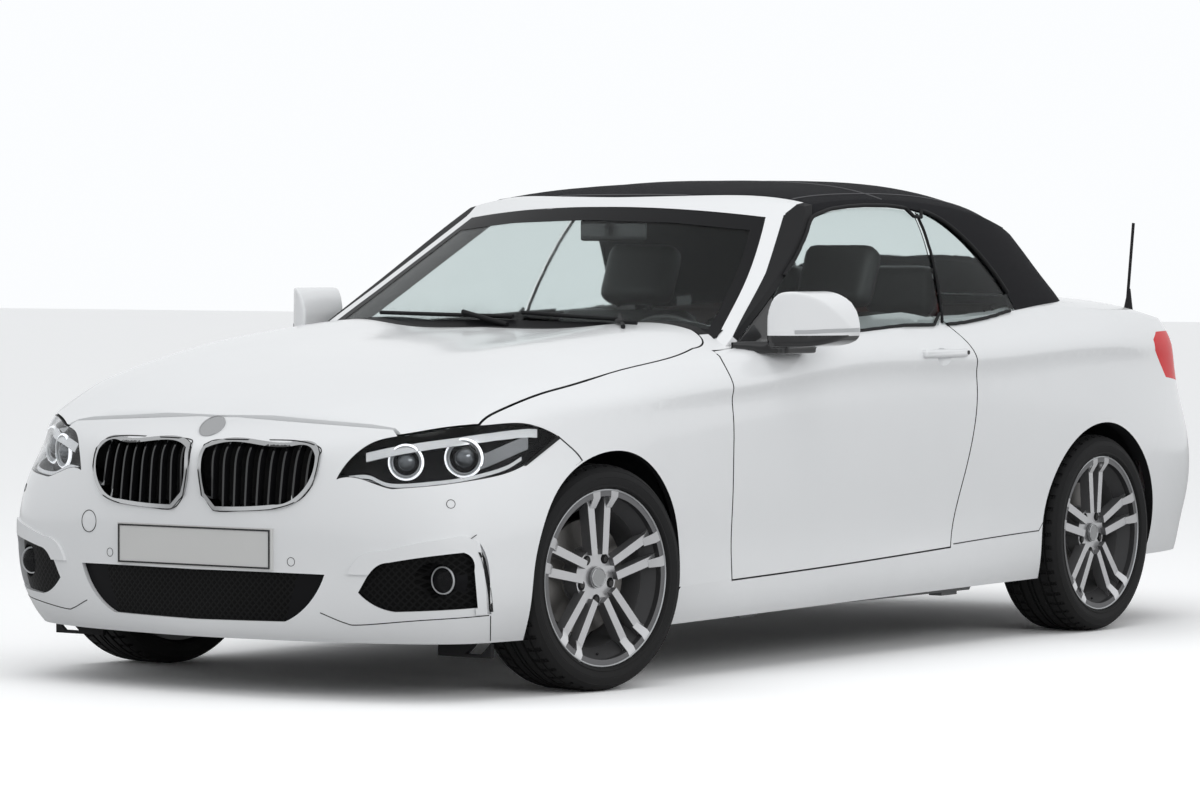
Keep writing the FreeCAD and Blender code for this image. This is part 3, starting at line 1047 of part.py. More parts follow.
def seat(x_front, y, width):
    cushion = rounded_box(CUSHION_LENGTH, width, CUSHION_TOP - CUSHION_FOOT)
    cushion.translate(V(x_front - CUSHION_LENGTH, y, CUSHION_FOOT))
    back = rounded_box(BACK_WALL, width, BACK_HEIGHT)
    rest = rounded_box(HEADREST_WALL, HEADREST_WIDTH, HEADREST_HEIGHT)
    rest.translate(V((BACK_WALL - HEADREST_WALL) / 2, 0, BACK_HEIGHT + HEADREST_GAP))
    post_foot = BACK_HEIGHT - HEADREST_GAP
    posts = [Part.makeCylinder(POST_RADIUS, 3 * HEADREST_GAP,
                               V(BACK_WALL / 2, side * HEADREST_WIDTH / 4, post_foot)) for side in (1, -1)]
    upper = back.fuse([rest] + posts)
    upper.rotate(V(0, 0, 0), V(0, 1, 0), BACK_LEAN)
    upper.translate(V(x_front - CUSHION_LENGTH - BACK_WALL / 2, y, CUSHION_FOOT + SEAT_ROUND))
    rails = [box(x_front - CUSHION_LENGTH + SEAT_ROUND, x_front - SEAT_ROUND,
                 y + side * width / 3 - POST_RADIUS, y + side * width / 3 + POST_RADIUS,
                 FLOOR_TOP, CUSHION_FOOT + SEAT_ROUND) for side in (1, -1)]
    return cushion.fuse([upper] + rails).removeSplitter()


front_seats = both(seat(x_at(SEAT_FRONT_SHARE), SEAT_Y, SEAT_WIDTH))
REAR_CUSHION_LENGTH = 430
REAR_CUSHION_TOP = 470
REAR_BACK_HEIGHT = 560
REAR_SEAT_WIDTH = 960
REAR_BACK_WALL = 120
REAR_REST_Y = 245
REAR_REST_HEIGHT = 150
REAR_REST_GAP = 16
rear_cushion = rounded_box(REAR_CUSHION_LENGTH, REAR_SEAT_WIDTH, REAR_CUSHION_TOP - REAR_FLOOR_TOP)
rear_cushion.translate(V(seat_back_x, 0, REAR_FLOOR_TOP))
rear_back = rounded_box(REAR_BACK_WALL, REAR_SEAT_WIDTH, REAR_BACK_HEIGHT)
rear_back.translate(V(seat_back_x, 0, REAR_CUSHION_TOP - SEAT_ROUND))
rear_back_top = REAR_CUSHION_TOP - SEAT_ROUND + REAR_BACK_HEIGHT
rear_rests = []
for y in (-REAR_REST_Y, REAR_REST_Y):
    rest = rounded_box(HEADREST_WALL, HEADREST_WIDTH, REAR_REST_HEIGHT)
    rest.translate(V(seat_back_x + POST_RADIUS, y, rear_back_top + REAR_REST_GAP))
    post = Part.makeCylinder(POST_RADIUS, 3 * REAR_REST_GAP, V(seat_back_x + BACK_WALL / 2, y,
                                                                rear_back_top - REAR_REST_GAP))
    rear_rests += [rest, post]
rear_seat = rear_cushion.fuse([rear_back] + rear_rests).removeSplitter()

# Dashboard, console and the steering wheel
DASH_SHARES = (
    ((0.775, 0.430), (0.775, 0.640)),
    ((0.775, 0.640), (0.740, 0.658), (0.690, 0.660), (0.655, 0.640)),
    ((0.655, 0.640), (0.650, 0.540), (0.680, 0.470)),
    ((0.680, 0.470), (0.775, 0.430)))
DASH_HALF_WIDTH = 640
CONSOLE_HALF_WIDTH = 95
CONSOLE_TOP = 470
CONSOLE_END_SHARE = 0.430
CONSOLE_LAP = 60
dash = prism(DASH_SHARES, "side", 0, -DASH_HALF_WIDTH, DASH_HALF_WIDTH)
console = box(x_at(CONSOLE_END_SHARE), x_at(DASH_SHARES[2][1][0]) + CONSOLE_LAP, -CONSOLE_HALF_WIDTH,
              CONSOLE_HALF_WIDTH, TUNNEL_TOP, CONSOLE_TOP)
COLUMN_LEAN = 24
COVER_REACH = 384
GRIP_ARM_ANGLES = (90, 180, 270)
WHEEL_GRIP_RADIUS = 183
GRIP_RADIUS = 15
BOSS_RADIUS = 62
BOSS_WALL = 42
COLUMN_RADIUS = 22
COLUMN_LENGTH = 160
COLUMN_GAP = 1
STEERING_SHARE = 0.610
STEERING_HEIGHT_SHARE = 0.585
DRIVER_SIDE = 1
column_line = V(math.cos(math.radians(COLUMN_LEAN)), 0, -math.sin(math.radians(COLUMN_LEAN)))
wheel_centre = V(x_at(STEERING_SHARE), DRIVER_SIDE * SEAT_Y, STEERING_HEIGHT_SHARE * HEIGHT)


def steering_piece():
    """Wheel in the plane X = 0, its face towards -X."""
    grip = Part.makeTorus(WHEEL_GRIP_RADIUS, GRIP_RADIUS, V(0, 0, 0), V(1, 0, 0))
    boss = Part.makeCylinder(BOSS_RADIUS, BOSS_WALL, V(-BOSS_WALL / 2, 0, 0), V(1, 0, 0))
    arms = []
    for angle in GRIP_ARM_ANGLES:
        arm = box(-GRIP_RADIUS / 2, GRIP_RADIUS / 2, -GRIP_RADIUS, GRIP_RADIUS, 0, WHEEL_GRIP_RADIUS)
        arms.append(arm.rotate(V(0, 0, 0), V(1, 0, 0), angle))
    shaft = Part.makeCylinder(COLUMN_RADIUS, COLUMN_LENGTH / 2, V(0, 0, 0), V(1, 0, 0))
    return grip.fuse([boss, shaft] + arms)


steering_wheel = steering_piece()
steering_wheel.rotate(V(0, 0, 0), V(0, 1, 0), COLUMN_LEAN)
steering_wheel.translate(wheel_centre)
cover_start = wheel_centre + column_line * (COLUMN_LENGTH / 2 + COLUMN_GAP)
column_cover = rod(cover_start, wheel_centre + column_line * COVER_REACH, 2 * COLUMN_RADIUS)
column_room = rod(wheel_centre - column_line * COLUMN_LENGTH, cover_start, WHEEL_GRIP_RADIUS + 2 * GRIP_RADIUS)
stack = box(x_at(DASH_SHARES[2][1][0]), x_at(DASH_SHARES[1][1][0]), -CONSOLE_HALF_WIDTH, CONSOLE_HALF_WIDTH,
            TUNNEL_TOP, DASH_SHARES[1][0][1] * HEIGHT)
dashboard = dash.fuse([console, stack, column_cover]).cut(column_room).removeSplitter()

# Outside mirrors: a rounded housing on a low foot, with the black corner panel of the side window
MIRROR_PLAN_SHARES = (
    ((0.703, 0.945), (0.700, 0.990), (0.679, 1.048), (0.650, 1.095), (0.621, 1.118)),
    ((0.621, 1.118), (0.6035, 1.108), (0.6055, 1.080)),
    ((0.6055, 1.080), (0.632, 0.945)),
    ((0.632, 0.945), (0.703, 0.945)))
MIRROR_FRONT_SHARES = (
    ((0.945, 0.672), (0.945, 0.708), (0.956, 0.736), (0.975, 0.755), (1.005, 0.764)),
    ((1.005, 0.764), (1.035, 0.762), (1.066, 0.752), (1.092, 0.734), (1.110, 0.708), (1.118, 0.690)),
    ((1.118, 0.690), (1.112, 0.672), (1.085, 0.659), (1.015, 0.652), (0.960, 0.652)),
    ((0.960, 0.652), (0.948, 0.658), (0.945, 0.672)))
MIRROR_FOOT_SHARES = (
    ((0.735, 0.870), (0.700, 0.925), (0.690, 1.000)),
    ((0.690, 1.000), (0.632, 1.000)),
    ((0.632, 1.000), (0.620, 0.870)),
    ((0.620, 0.870), (0.735, 0.870)))
MIRROR_FOOT = 905
MIRROR_FOOT_WALL = 36
mirror_head = prism(MIRROR_PLAN_SHARES, "plan", 0, AXLE_HEIGHT, HEIGHT).common(
    prism(MIRROR_FRONT_SHARES, "front", 0, 0, LENGTH))
mirror_foot = prism(MIRROR_FOOT_SHARES, "plan", 0, MIRROR_FOOT, MIRROR_FOOT + MIRROR_FOOT_WALL)
mirror = mirror_head.fuse([mirror_foot, mirror_sail]).cut(door).cut(cabin_half(GLASS_WALL))
mirror = main_solid(mirror.cut(door_glass))

# Aerial and inside mirror
AERIAL_RADIUS = 5
AERIAL_LENGTH = 290
AERIAL_Y = 600
AERIAL_SHARE = -0.65
AERIAL_FOOT = 1005
AERIAL_LEAN = -0.15
aerial = Part.makeCylinder(AERIAL_RADIUS, AERIAL_LENGTH, V(x_at(AERIAL_SHARE), AERIAL_Y, AERIAL_FOOT),
                           V(AERIAL_LEAN, 0, 1))
aerial = main_solid(aerial.cut(body))
INSIDE_MIRROR_SHARE = 0.545
INSIDE_MIRROR_WALL = 30
INSIDE_MIRROR_WIDTH = 230
INSIDE_MIRROR_HEIGHT = 65
INSIDE_MIRROR_FOOT = 1226
STALK_RADIUS = 14
STALK_SHARE = 0.56
inside_mirror_x = x_at(INSIDE_MIRROR_SHARE)
inside_mirror = box(inside_mirror_x - INSIDE_MIRROR_WALL, inside_mirror_x, -INSIDE_MIRROR_WIDTH / 2,
                    INSIDE_MIRROR_WIDTH / 2, INSIDE_MIRROR_FOOT, INSIDE_MIRROR_FOOT + INSIDE_MIRROR_HEIGHT)
stalk_foot = V(inside_mirror_x - INSIDE_MIRROR_WALL / 2, 0, INSIDE_MIRROR_FOOT + STALK_RADIUS)
mirror_stalk = rod(stalk_foot, V(x_at(STALK_SHARE), 0, HEIGHT - OVERRUN), STALK_RADIUS)
glass_room = whole(cabin_half(GLASS_WALL + LAMP_GAP).common(screen_half(GLASS_WALL + LAMP_GAP)))
inside_mirror = inside_mirror.fuse(mirror_stalk).common(glass_room)
inside_mirror = main_solid(inside_mirror.cut(screen_frame).cut(soft_top))

# Radiator grille: two bright frames that stand a little proud, with dark slats behind them
SLAT_COUNT = 9
SLAT_WALL = 6
SLAT_DEPTH = 34
GRILLE_FRAME = 11
MESH_INSET = 14
grille_frame = prism(KIDNEY_SHARES, "front", 0, FRONT_AXLE_X, LENGTH).cut(
    prism(KIDNEY_SHARES, "front", -GRILLE_FRAME, FRONT_AXLE_X - OVERRUN, LENGTH + OVERRUN))
grille_inside = body_half(SLAT_DEPTH)
kidney_y = [pair[0] * HALF_WIDTH for stretch in KIDNEY_SHARES for pair in stretch]
slat_pitch = (max(kidney_y) - min(kidney_y)) / (SLAT_COUNT + 1)
slats = [box(FRONT_AXLE_X, LENGTH, min(kidney_y) + (i + 1) * slat_pitch - SLAT_WALL / 2,
             min(kidney_y) + (i + 1) * slat_pitch + SLAT_WALL / 2, 0, HEIGHT) for i in range(SLAT_COUNT)]
slat_set = Part.makeCompound(slats).common(kidney_hole).common(trim_inside.cut(grille_inside))
grille_half = grille_frame.common(proud_body.cut(grille_inside)).fuse(slat_set.Solids)
radiator_grille = both(main_solid(grille_half))

# Mesh of the lower openings, and the fog lamps in their bowls
FOG_Y = 720
FOG_HEIGHT = 327
FOG_RADIUS = 38
FOG_FACE_X = 2047
FOG_LENGTH = 60
BOWL_MOUTH = 58
BOWL_WALL = 4
BOWL_DEPTH = 70
mesh_band = body_half(MESH_INSET).cut(body_half(MESH_INSET + SKIN))
intake_mesh = whole(main_solid(mesh_band.common(intake_hole)))
fog_foot = V(FOG_FACE_X - FOG_LENGTH, FOG_Y, FOG_HEIGHT)
fog_lamp = Part.makeCylinder(FOG_RADIUS, FOG_LENGTH, fog_foot, V(1, 0, 0))
bowl_start = V(FOG_FACE_X - BOWL_WALL, FOG_Y, FOG_HEIGHT)
bowl_block = Part.makeCone(FOG_RADIUS + BOWL_WALL, BOWL_MOUTH + 2 * BOWL_WALL, BOWL_DEPTH, bowl_start,
                           V(1, 0, 0))
bowl_hollow = Part.makeCone(FOG_RADIUS + LAMP_GAP, BOWL_MOUTH + BOWL_WALL, BOWL_DEPTH, bowl_start,
                            V(1, 0, 0))
fog_mesh = mesh_band.common(fog_hole).cut(bowl_block).cut(
    Part.makeCylinder(FOG_RADIUS + LAMP_GAP, FOG_LENGTH, fog_foot, V(1, 0, 0)))
fog_bowl = bowl_block.cut(bowl_hollow).common(body_half(MESH_INSET)).common(fog_hole)
lower_grille = Part.makeCompound([intake_mesh] + both(Part.makeCompound(
    solids_only(fog_mesh).Solids + [main_solid(fog_bowl)])).Solids)

# Blank number plate on the bumper
front_plate = box(FRONT_AXLE_X, LENGTH / 2 - PLATE_WALL, -PLATE_WIDTH / 2, PLATE_WIDTH / 2, FRONT_PLATE_FOOT,
                  FRONT_PLATE_FOOT + PLATE_HEIGHT).cut(whole(body))

# One file for each piece
pieces = {
    "floor_pan": floor_pan, "front_structure": front_structure, "arch_liners": arch_liners,
    "front_subframe": front_subframe, "rear_subframe": rear_subframe, "engine_block": engine,
    "exhaust": exhaust, "front_seats": front_seats, "rear_seat": rear_seat, "dashboard": dashboard,
    "steering_wheel": steering_wheel, "front_bumper": front_bumper, "radiator_grille": radiator_grille,
    "lower_grille": lower_grille,
    "front_plate": main_solid(front_plate), "fog_lamps": both(fog_lamp), "headlamps": both(headlamp),
    "front_wings": both(wing), "cowl_panel": cowl, "windscreen_frame": screen_frame, "windscreen": windscreen,
    "interior_mirror": inside_mirror, "soft_top": soft_top, "rear_window": rear_window,
    "quarter_windows": both(quarter_glass), "quarter_panels": both(quarter), "side_skirts": both(skirt),
    "rear_deck": rear_deck, "rear_bumper": rear_bumper, "tail_lamps": both(tail_lamp), "aerial": aerial,
    "bonnet": bonnet, "boot_lid": boot_lid, "boot_lid_lamps": both(lid_lamp)}
for name, side in (("left", 1), ("right", -1)):
    door_piece = door if side > 0 else mirrored(door)
    pieces["door_" + name] = door_piece
    pieces["door_glass_" + name] = door_glass if side > 0 else mirrored(door_glass)
    pieces["mirror_" + name] = mirror if side > 0 else mirrored(mirror)
    wheel = left_wheel if side > 0 else right_wheel
    tyre = left_tyre if side > 0 else right_tyre
    front = side * FRONT_TRACK / 2
    rear = side * REAR_TRACK / 2
    knuckle = knuckle_left if side > 0 else mirrored(knuckle_left)
    pieces["knuckle_" + name] = steered(knuckle, side)
    pieces["wheel_front_" + name] = steered(placed(wheel, FRONT_AXLE_X, front), side)
    pieces["tyre_front_" + name] = steered(placed(tyre, FRONT_AXLE_X, front), side)
    pieces["wheel_rear_" + name] = placed(wheel, REAR_AXLE_X, rear)
    pieces["tyre_rear_" + name] = placed(tyre, REAR_AXLE_X, rear)
for name, piece in pieces.items():
    write(name, piece)
    print(name, piece.isValid(), len(piece.Solids), round(piece.Volume / 1e6, 2))
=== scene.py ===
import bmesh
import bpy
import json
import math
import numpy

from bpy.props import FloatProperty, FloatVectorProperty
from mathutils import Matrix, Vector
from mathutils.bvhtree import BVHTree


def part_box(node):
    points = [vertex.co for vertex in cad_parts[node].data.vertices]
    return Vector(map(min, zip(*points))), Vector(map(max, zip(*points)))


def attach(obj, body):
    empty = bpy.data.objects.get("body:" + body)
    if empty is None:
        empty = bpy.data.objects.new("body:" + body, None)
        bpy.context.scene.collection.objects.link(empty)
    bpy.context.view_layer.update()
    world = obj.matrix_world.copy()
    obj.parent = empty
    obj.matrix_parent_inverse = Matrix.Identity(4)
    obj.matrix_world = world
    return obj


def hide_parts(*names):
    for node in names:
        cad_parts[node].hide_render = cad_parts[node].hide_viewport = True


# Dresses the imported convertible: paint, glass, fabric roof, lamps, wheels, cabin and trim

bl_info = {
    "name": "Convertible Dressing",
    "version": (1, 0, 0),
    "blender": (4, 5, 0),
    "location": "View3D > Sidebar > Convertible",
    "description": "Adds finishes and fine parts to the convertible car's frame",
    "category": "Object",
}

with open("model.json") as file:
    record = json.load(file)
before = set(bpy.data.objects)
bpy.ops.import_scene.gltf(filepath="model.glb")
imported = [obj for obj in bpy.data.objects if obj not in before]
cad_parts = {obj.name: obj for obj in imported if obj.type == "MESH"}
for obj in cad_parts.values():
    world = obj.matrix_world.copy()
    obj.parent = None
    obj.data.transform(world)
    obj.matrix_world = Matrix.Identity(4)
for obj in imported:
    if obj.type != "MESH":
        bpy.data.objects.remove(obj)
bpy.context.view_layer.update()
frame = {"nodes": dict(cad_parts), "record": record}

HALF_TURN = math.pi
RIGHT_ANGLE = math.pi / 2
MERGE_DISTANCE = 1e-5
LEFT = 1
RIGHT = -1


# Shared node groups

def new_group(name, inputs, outputs):
    """Empty shader group with named sockets, and its input and output nodes."""
    group = bpy.data.node_groups.new(name, "ShaderNodeTree")
    for label, kind, default in inputs:
        socket = group.interface.new_socket(name=label, in_out="INPUT", socket_type=kind)
        if default is not None:
            socket.default_value = default
    for label, kind in outputs:
        group.interface.new_socket(name=label, in_out="OUTPUT", socket_type=kind)
    return group, group.nodes.new("NodeGroupInput"), group.nodes.new("NodeGroupOutput")


def grain_group():
    """Fine moulded grain: two sizes of noise as one height."""
    group, start, end = new_group("moulded grain", [
        ("Vector", "NodeSocketVector", None), ("Scale", "NodeSocketFloat", 400.0),
        ("Coarse", "NodeSocketFloat", 0.3)], [("Height", "NodeSocketFloat"), ("Mottle", "NodeSocketFloat")])
    links = group.links
    fine = group.nodes.new("ShaderNodeTexNoise")
    broad = group.nodes.new("ShaderNodeTexNoise")
    broad.inputs["Scale"].default_value = 6.0
    mix = group.nodes.new("ShaderNodeMix")
    links.new(start.outputs["Vector"], fine.inputs["Vector"])
    links.new(start.outputs["Vector"], broad.inputs["Vector"])
    links.new(start.outputs["Scale"], fine.inputs["Scale"])
    links.new(start.outputs["Coarse"], mix.inputs["Factor"])
    links.new(fine.outputs["Fac"], mix.inputs["A"])
    links.new(broad.outputs["Fac"], mix.inputs["B"])
    links.new(mix.outputs["Result"], end.inputs["Height"])
    links.new(broad.outputs["Fac"], end.inputs["Mottle"])
    return group


def weave_group():
    """Plain weave from two crossed waves."""
    group, start, end = new_group("plain weave", [
        ("Vector", "NodeSocketVector", None), ("Scale", "NodeSocketFloat", 300.0)],
        [("Height", "NodeSocketFloat")])
    waves = []
    for direction in ("X", "Y"):
        wave = group.nodes.new("ShaderNodeTexWave")
        wave.bands_direction = direction
        wave.inputs["Distortion"].default_value = 1.5
        wave.inputs["Detail Scale"].default_value = 2.0
        group.links.new(start.outputs["Vector"], wave.inputs["Vector"])
        group.links.new(start.outputs["Scale"], wave.inputs["Scale"])
        waves.append(wave)
    crossed = group.nodes.new("ShaderNodeMath")
    crossed.operation = "MULTIPLY"
    group.links.new(waves[0].outputs["Fac"], crossed.inputs[0])
    group.links.new(waves[1].outputs["Fac"], crossed.inputs[1])
    group.links.new(crossed.outputs[0], end.inputs["Height"])
    return group


def dust_group():
    """Road dust that fades out upwards from the ground, broken up by noise."""
    group, start, end = new_group("road dust", [
        ("Vector", "NodeSocketVector", None), ("Top", "NodeSocketFloat", 0.5),
        ("Amount", "NodeSocketFloat", 0.2)], [("Mask", "NodeSocketFloat")])
    split = group.nodes.new("ShaderNodeSeparateXYZ")
    fade = group.nodes.new("ShaderNodeMapRange")
    fade.inputs["From Min"].default_value = 0.0
    fade.inputs["To Min"].default_value = 1.0
    fade.inputs["To Max"].default_value = 0.0
    noise = group.nodes.new("ShaderNodeTexNoise")
    noise.inputs["Scale"].default_value = 9.0
    noise.inputs["Detail"].default_value = 6.0
    patchy = group.nodes.new("ShaderNodeMath")
    patchy.operation = "MULTIPLY"
    scaled = group.nodes.new("ShaderNodeMath")
    scaled.operation = "MULTIPLY"
    links = group.links
    links.new(start.outputs["Vector"], split.inputs[0])
    links.new(start.outputs["Vector"], noise.inputs["Vector"])
    links.new(split.outputs["Z"], fade.inputs["Value"])
    links.new(start.outputs["Top"], fade.inputs["From Max"])
    links.new(fade.outputs["Result"], patchy.inputs[0])
    links.new(noise.outputs["Fac"], patchy.inputs[1])
    links.new(patchy.outputs[0], scaled.inputs[0])
    links.new(start.outputs["Amount"], scaled.inputs[1])
    links.new(scaled.outputs[0], end.inputs["Mask"])
    return group


def mesh_group():
    """Slanted crossed bars, with the cells between them painted darker as shade in the openings."""
    group, start, end = new_group("grille mesh", [
        ("Vector", "NodeSocketVector", None), ("Scale", "NodeSocketFloat", 30.0)],
        [("Height", "NodeSocketFloat")])
    links = group.links
    turn = group.nodes.new("ShaderNodeMapping")
    turn.inputs["Rotation"].default_value = (math.radians(45), 0, 0)
    links.new(start.outputs["Vector"], turn.inputs["Vector"])
    bars = group.nodes.new("ShaderNodeMath")
    bars.operation = "MAXIMUM"
    for index, direction in enumerate(("Y", "Z")):
        wave = group.nodes.new("ShaderNodeTexWave")
        wave.bands_direction = direction
        links.new(turn.outputs["Vector"], wave.inputs["Vector"])
        links.new(start.outputs["Scale"], wave.inputs["Scale"])
        links.new(wave.outputs["Fac"], bars.inputs[index])
    edge = group.nodes.new("ShaderNodeMapRange")
    edge.inputs["From Min"].default_value = 0.72
    edge.inputs["From Max"].default_value = 0.86
    links.new(bars.outputs[0], edge.inputs["Value"])
    links.new(edge.outputs["Result"], end.inputs["Height"])
    return group


GROUPS = {}


def shared(name):
    builders = {"grain": grain_group, "weave": weave_group, "dust": dust_group, "mesh": mesh_group}
    if name not in GROUPS:
        GROUPS[name] = builders[name]()
    return GROUPS[name]


def placed_group(tree, name, coordinates, **values):
    node = tree.nodes.new("ShaderNodeGroup")
    node.node_tree = shared(name)
    tree.links.new(coordinates, node.inputs["Vector"])
    for label, value in values.items():
        node.inputs[label].default_value = value
    return node


def finish(name, color, roughness, metallic=0.0, grain=400.0, bump=0.05, dust=0.0, dust_top=0.6, mottle=0.05,
           pattern="grain", **sockets):
    """Material with a procedural colour, roughness and bump. Extra values go on the shader's own sockets."""
    material = bpy.data.materials.new(name)
    material.use_nodes = True
    tree = material.node_tree
    shader = tree.nodes["Principled BSDF"]
    coordinates = tree.nodes.new("ShaderNodeTexCoord").outputs["Object"]
    surface = placed_group(tree, "grain", coordinates, Scale=grain)
    height = surface.outputs["Height"]
    if pattern != "grain":
        height = placed_group(tree, pattern, coordinates, Scale=grain).outputs["Height"]
    tone = tree.nodes.new("ShaderNodeMix")
    tone.data_type = "RGBA"
    tone.inputs["A"].default_value = (*[c * (1 - mottle) for c in color], 1)
    tone.inputs["B"].default_value = (*[min(1, c * (1 + mottle)) for c in color], 1)
    # With the mesh pattern the tone follows the bars, so the cells between them are painted darker as shade
    # in the openings.
    tree.links.new(height if pattern == "mesh" else surface.outputs["Mottle"], tone.inputs["Factor"])
    last = tone.outputs["Result"]
    rough = tree.nodes.new("ShaderNodeMapRange")
    rough.inputs["To Min"].default_value = max(0.02, roughness - 0.04)
    rough.inputs["To Max"].default_value = min(1.0, roughness + 0.04)
    tree.links.new(surface.outputs["Mottle"], rough.inputs["Value"])
    if dust:
        grime = placed_group(tree, "dust", coordinates, Top=dust_top, Amount=dust)
        dusted = tree.nodes.new("ShaderNodeMix")
        dusted.data_type = "RGBA"
        dusted.inputs["B"].default_value = (0.20, 0.18, 0.15, 1)
        tree.links.new(grime.outputs["Mask"], dusted.inputs["Factor"])
        tree.links.new(last, dusted.inputs["A"])
        last = dusted.outputs["Result"]
    tree.links.new(last, shader.inputs["Base Color"])
    tree.links.new(rough.outputs["Result"], shader.inputs["Roughness"])
    relief = tree.nodes.new("ShaderNodeBump")
    relief.inputs["Strength"].default_value = bump
    relief.inputs["Distance"].default_value = 0.001
    tree.links.new(height, relief.inputs["Height"])
    tree.links.new(relief.outputs["Normal"], shader.inputs["Normal"])
    shader.inputs["Metallic"].default_value = metallic
    for label, value in sockets.items():
        shader.inputs[label.replace("_", " ")].default_value = value
    return material


# Finishes: colour or the setting that holds it, roughness, and what else finish takes

FINISH_TABLE = {
    "white paint": ("paint", 0.30, dict(grain=60.0, bump=0.008, mottle=0.01, dust=0.05, dust_top=0.40,
        Coat_Weight=0.6, Coat_Roughness=0.10)),
    "roof fabric": ((0.0105, 0.0105, 0.0125), 0.92, dict(grain=260.0, bump=0.5, mottle=0.25, pattern="weave",
        Specular_IOR_Level=0.25)),
    "window glass": ("glass", 0.02, dict(grain=4.0, bump=0.0, mottle=0.01, Transmission_Weight=1.0,
        IOR=1.14)),
    "lamp glass": ((0.93, 0.94, 0.95), 0.02, dict(grain=4.0, bump=0.0, mottle=0.0, Transmission_Weight=1.0,
        IOR=1.2)),
    "lamp lens": ((0.16, 0.17, 0.18), 0.06, dict(metallic=0.6, grain=4.0, bump=0.0, mottle=0.01,
        Coat_Weight=0.5, Coat_Roughness=0.02)),
    "red lamp": ((0.50, 0.004, 0.008), 0.25, dict(grain=120.0, bump=0.1, mottle=0.2, Specular_IOR_Level=0.05,
        Emission_Color=(0.6, 0.01, 0.015, 1.0), Emission_Strength=0.2)),
    "chrome": ((0.52, 0.525, 0.53), 0.14, dict(metallic=1.0, grain=300.0, bump=0.01, mottle=0.03)),
    "matt black": ((0.009, 0.009, 0.010), 0.66, dict(grain=700.0, bump=0.25, dust=0.02,
        Specular_IOR_Level=0.3)),
    "gloss black": ((0.008, 0.008, 0.009), 0.10, dict(grain=40.0, bump=0.01, Coat_Weight=0.6,
        Coat_Roughness=0.03)),
    "alloy face": ((0.72, 0.72, 0.73), 0.30, dict(metallic=0.85, grain=500.0, bump=0.03, mottle=0.04,
        dust=0.03)),
    "alloy flank": ((0.17, 0.17, 0.175), 0.42, dict(metallic=0.5, grain=500.0, bump=0.05, mottle=0.08,
        dust=0.05)),
    # A darker copy of the flank paint for the barrel and the sunk faces behind the spokes: painted shade.
    "alloy barrel": ((0.045, 0.045, 0.047), 0.55, dict(metallic=0.4, grain=300.0, bump=0.05, mottle=0.15,
        dust=0.05)),
    "tyre rubber": ((0.0095, 0.0095, 0.010), 0.74, dict(grain=500.0, bump=0.2, mottle=0.15, dust=0.03,
        dust_top=0.4, Specular_IOR_Level=0.35)),
    "dark steel": ((0.05, 0.05, 0.052), 0.55, dict(metallic=0.6, grain=160.0, bump=0.2, mottle=0.2,
        dust=0.35)),
    "brake iron": ((0.30, 0.29, 0.28), 0.38, dict(metallic=0.9, grain=220.0, bump=0.1, mottle=0.15,
        dust=0.2)),
    # Here the mottle value sets how much darker the mesh's cells are painted, as shade in the openings.
    "mesh black": ((0.0035, 0.0035, 0.0036), 0.5, dict(grain=22.0, bump=1.0, mottle=0.9, pattern="mesh",
        Specular_IOR_Level=0.12)),
    "lamp black": ((0.006, 0.006, 0.007), 0.35, dict(grain=300.0, bump=0.05, Specular_IOR_Level=0.1)),
    "plate grey": ((0.62, 0.62, 0.61), 0.42, dict(grain=500.0, bump=0.05, mottle=0.03)),
    "halo white": ((0.93, 0.94, 0.95), 0.25, dict(grain=300.0, bump=0.02, mottle=0.01,
        Emission_Color=(0.95, 0.97, 1.0, 1.0), Emission_Strength=0.9)),
    "amber": ((0.32, 0.10, 0.02), 0.3, dict(grain=300.0, bump=0.2, mottle=0.1)),
    "mirror glass": ((0.72, 0.75, 0.78), 0.03, dict(metallic=1.0, grain=4.0, bump=0.0, mottle=0.01)),
    "silver trim": ((0.55, 0.56, 0.57), 0.3, dict(metallic=0.85, grain=400.0, bump=0.03, mottle=0.04)),
    "bright reflector": ((0.90, 0.905, 0.91), 0.22, dict(metallic=0.5, grain=160.0, bump=0.3, mottle=0.12)),
    "dark reflector": ((0.30, 0.305, 0.31), 0.25, dict(metallic=0.7, grain=90.0, bump=0.6, mottle=0.35)),
    # Black for panel seams, also used as painted shade: the bumper crease line, the fog slots and the blocks
    # behind the grilles.
    "seam black": ((0.012, 0.012, 0.012), 0.8, dict(grain=300.0, bump=0.1)),
    "dial glow": ((0.30, 0.33, 0.36), 0.3, dict(grain=300.0, bump=0.02, mottle=0.1)),
    "stitch": ((0.10, 0.10, 0.105), 0.7, dict(grain=900.0, bump=0.4, mottle=0.2)),
    "primer": ((0.16, 0.165, 0.17), 0.6, dict(grain=200.0, bump=0.15, mottle=0.12, dust=0.4, dust_top=0.4)),
    "leather": ((0.022, 0.021, 0.021), 0.5, dict(grain=900.0, bump=0.35, mottle=0.15, Coat_Weight=0.1)),
    "cabin plastic": ((0.03, 0.03, 0.031), 0.6, dict(grain=1200.0, bump=0.3)),
    "steel tube": ((0.42, 0.41, 0.40), 0.35, dict(metallic=1.0, grain=240.0, bump=0.08, mottle=0.12,
        dust=0.3)),
}
FINISHES = {}


def material(name):
    """One of the car's finishes, made when it is first asked for."""
    if name not in FINISHES:
        color, roughness, values = FINISH_TABLE[name]
        if isinstance(color, str):
            color = getattr(bpy.context.scene.car_look, color)
        FINISHES[name] = finish(name, color, roughness, **values)
    return FINISHES[name]


# Helpers for meshes

SHARP_EDGE = math.radians(32)


def shade(bm, angle=SHARP_EDGE):
    """Smooth faces, with edges sharper than the angle kept crisp."""
    for face in bm.faces:
        face.smooth = True
    for edge in bm.edges:
        edge.smooth = len(edge.link_faces) == 2 and edge.calc_face_angle(HALF_TURN) < angle


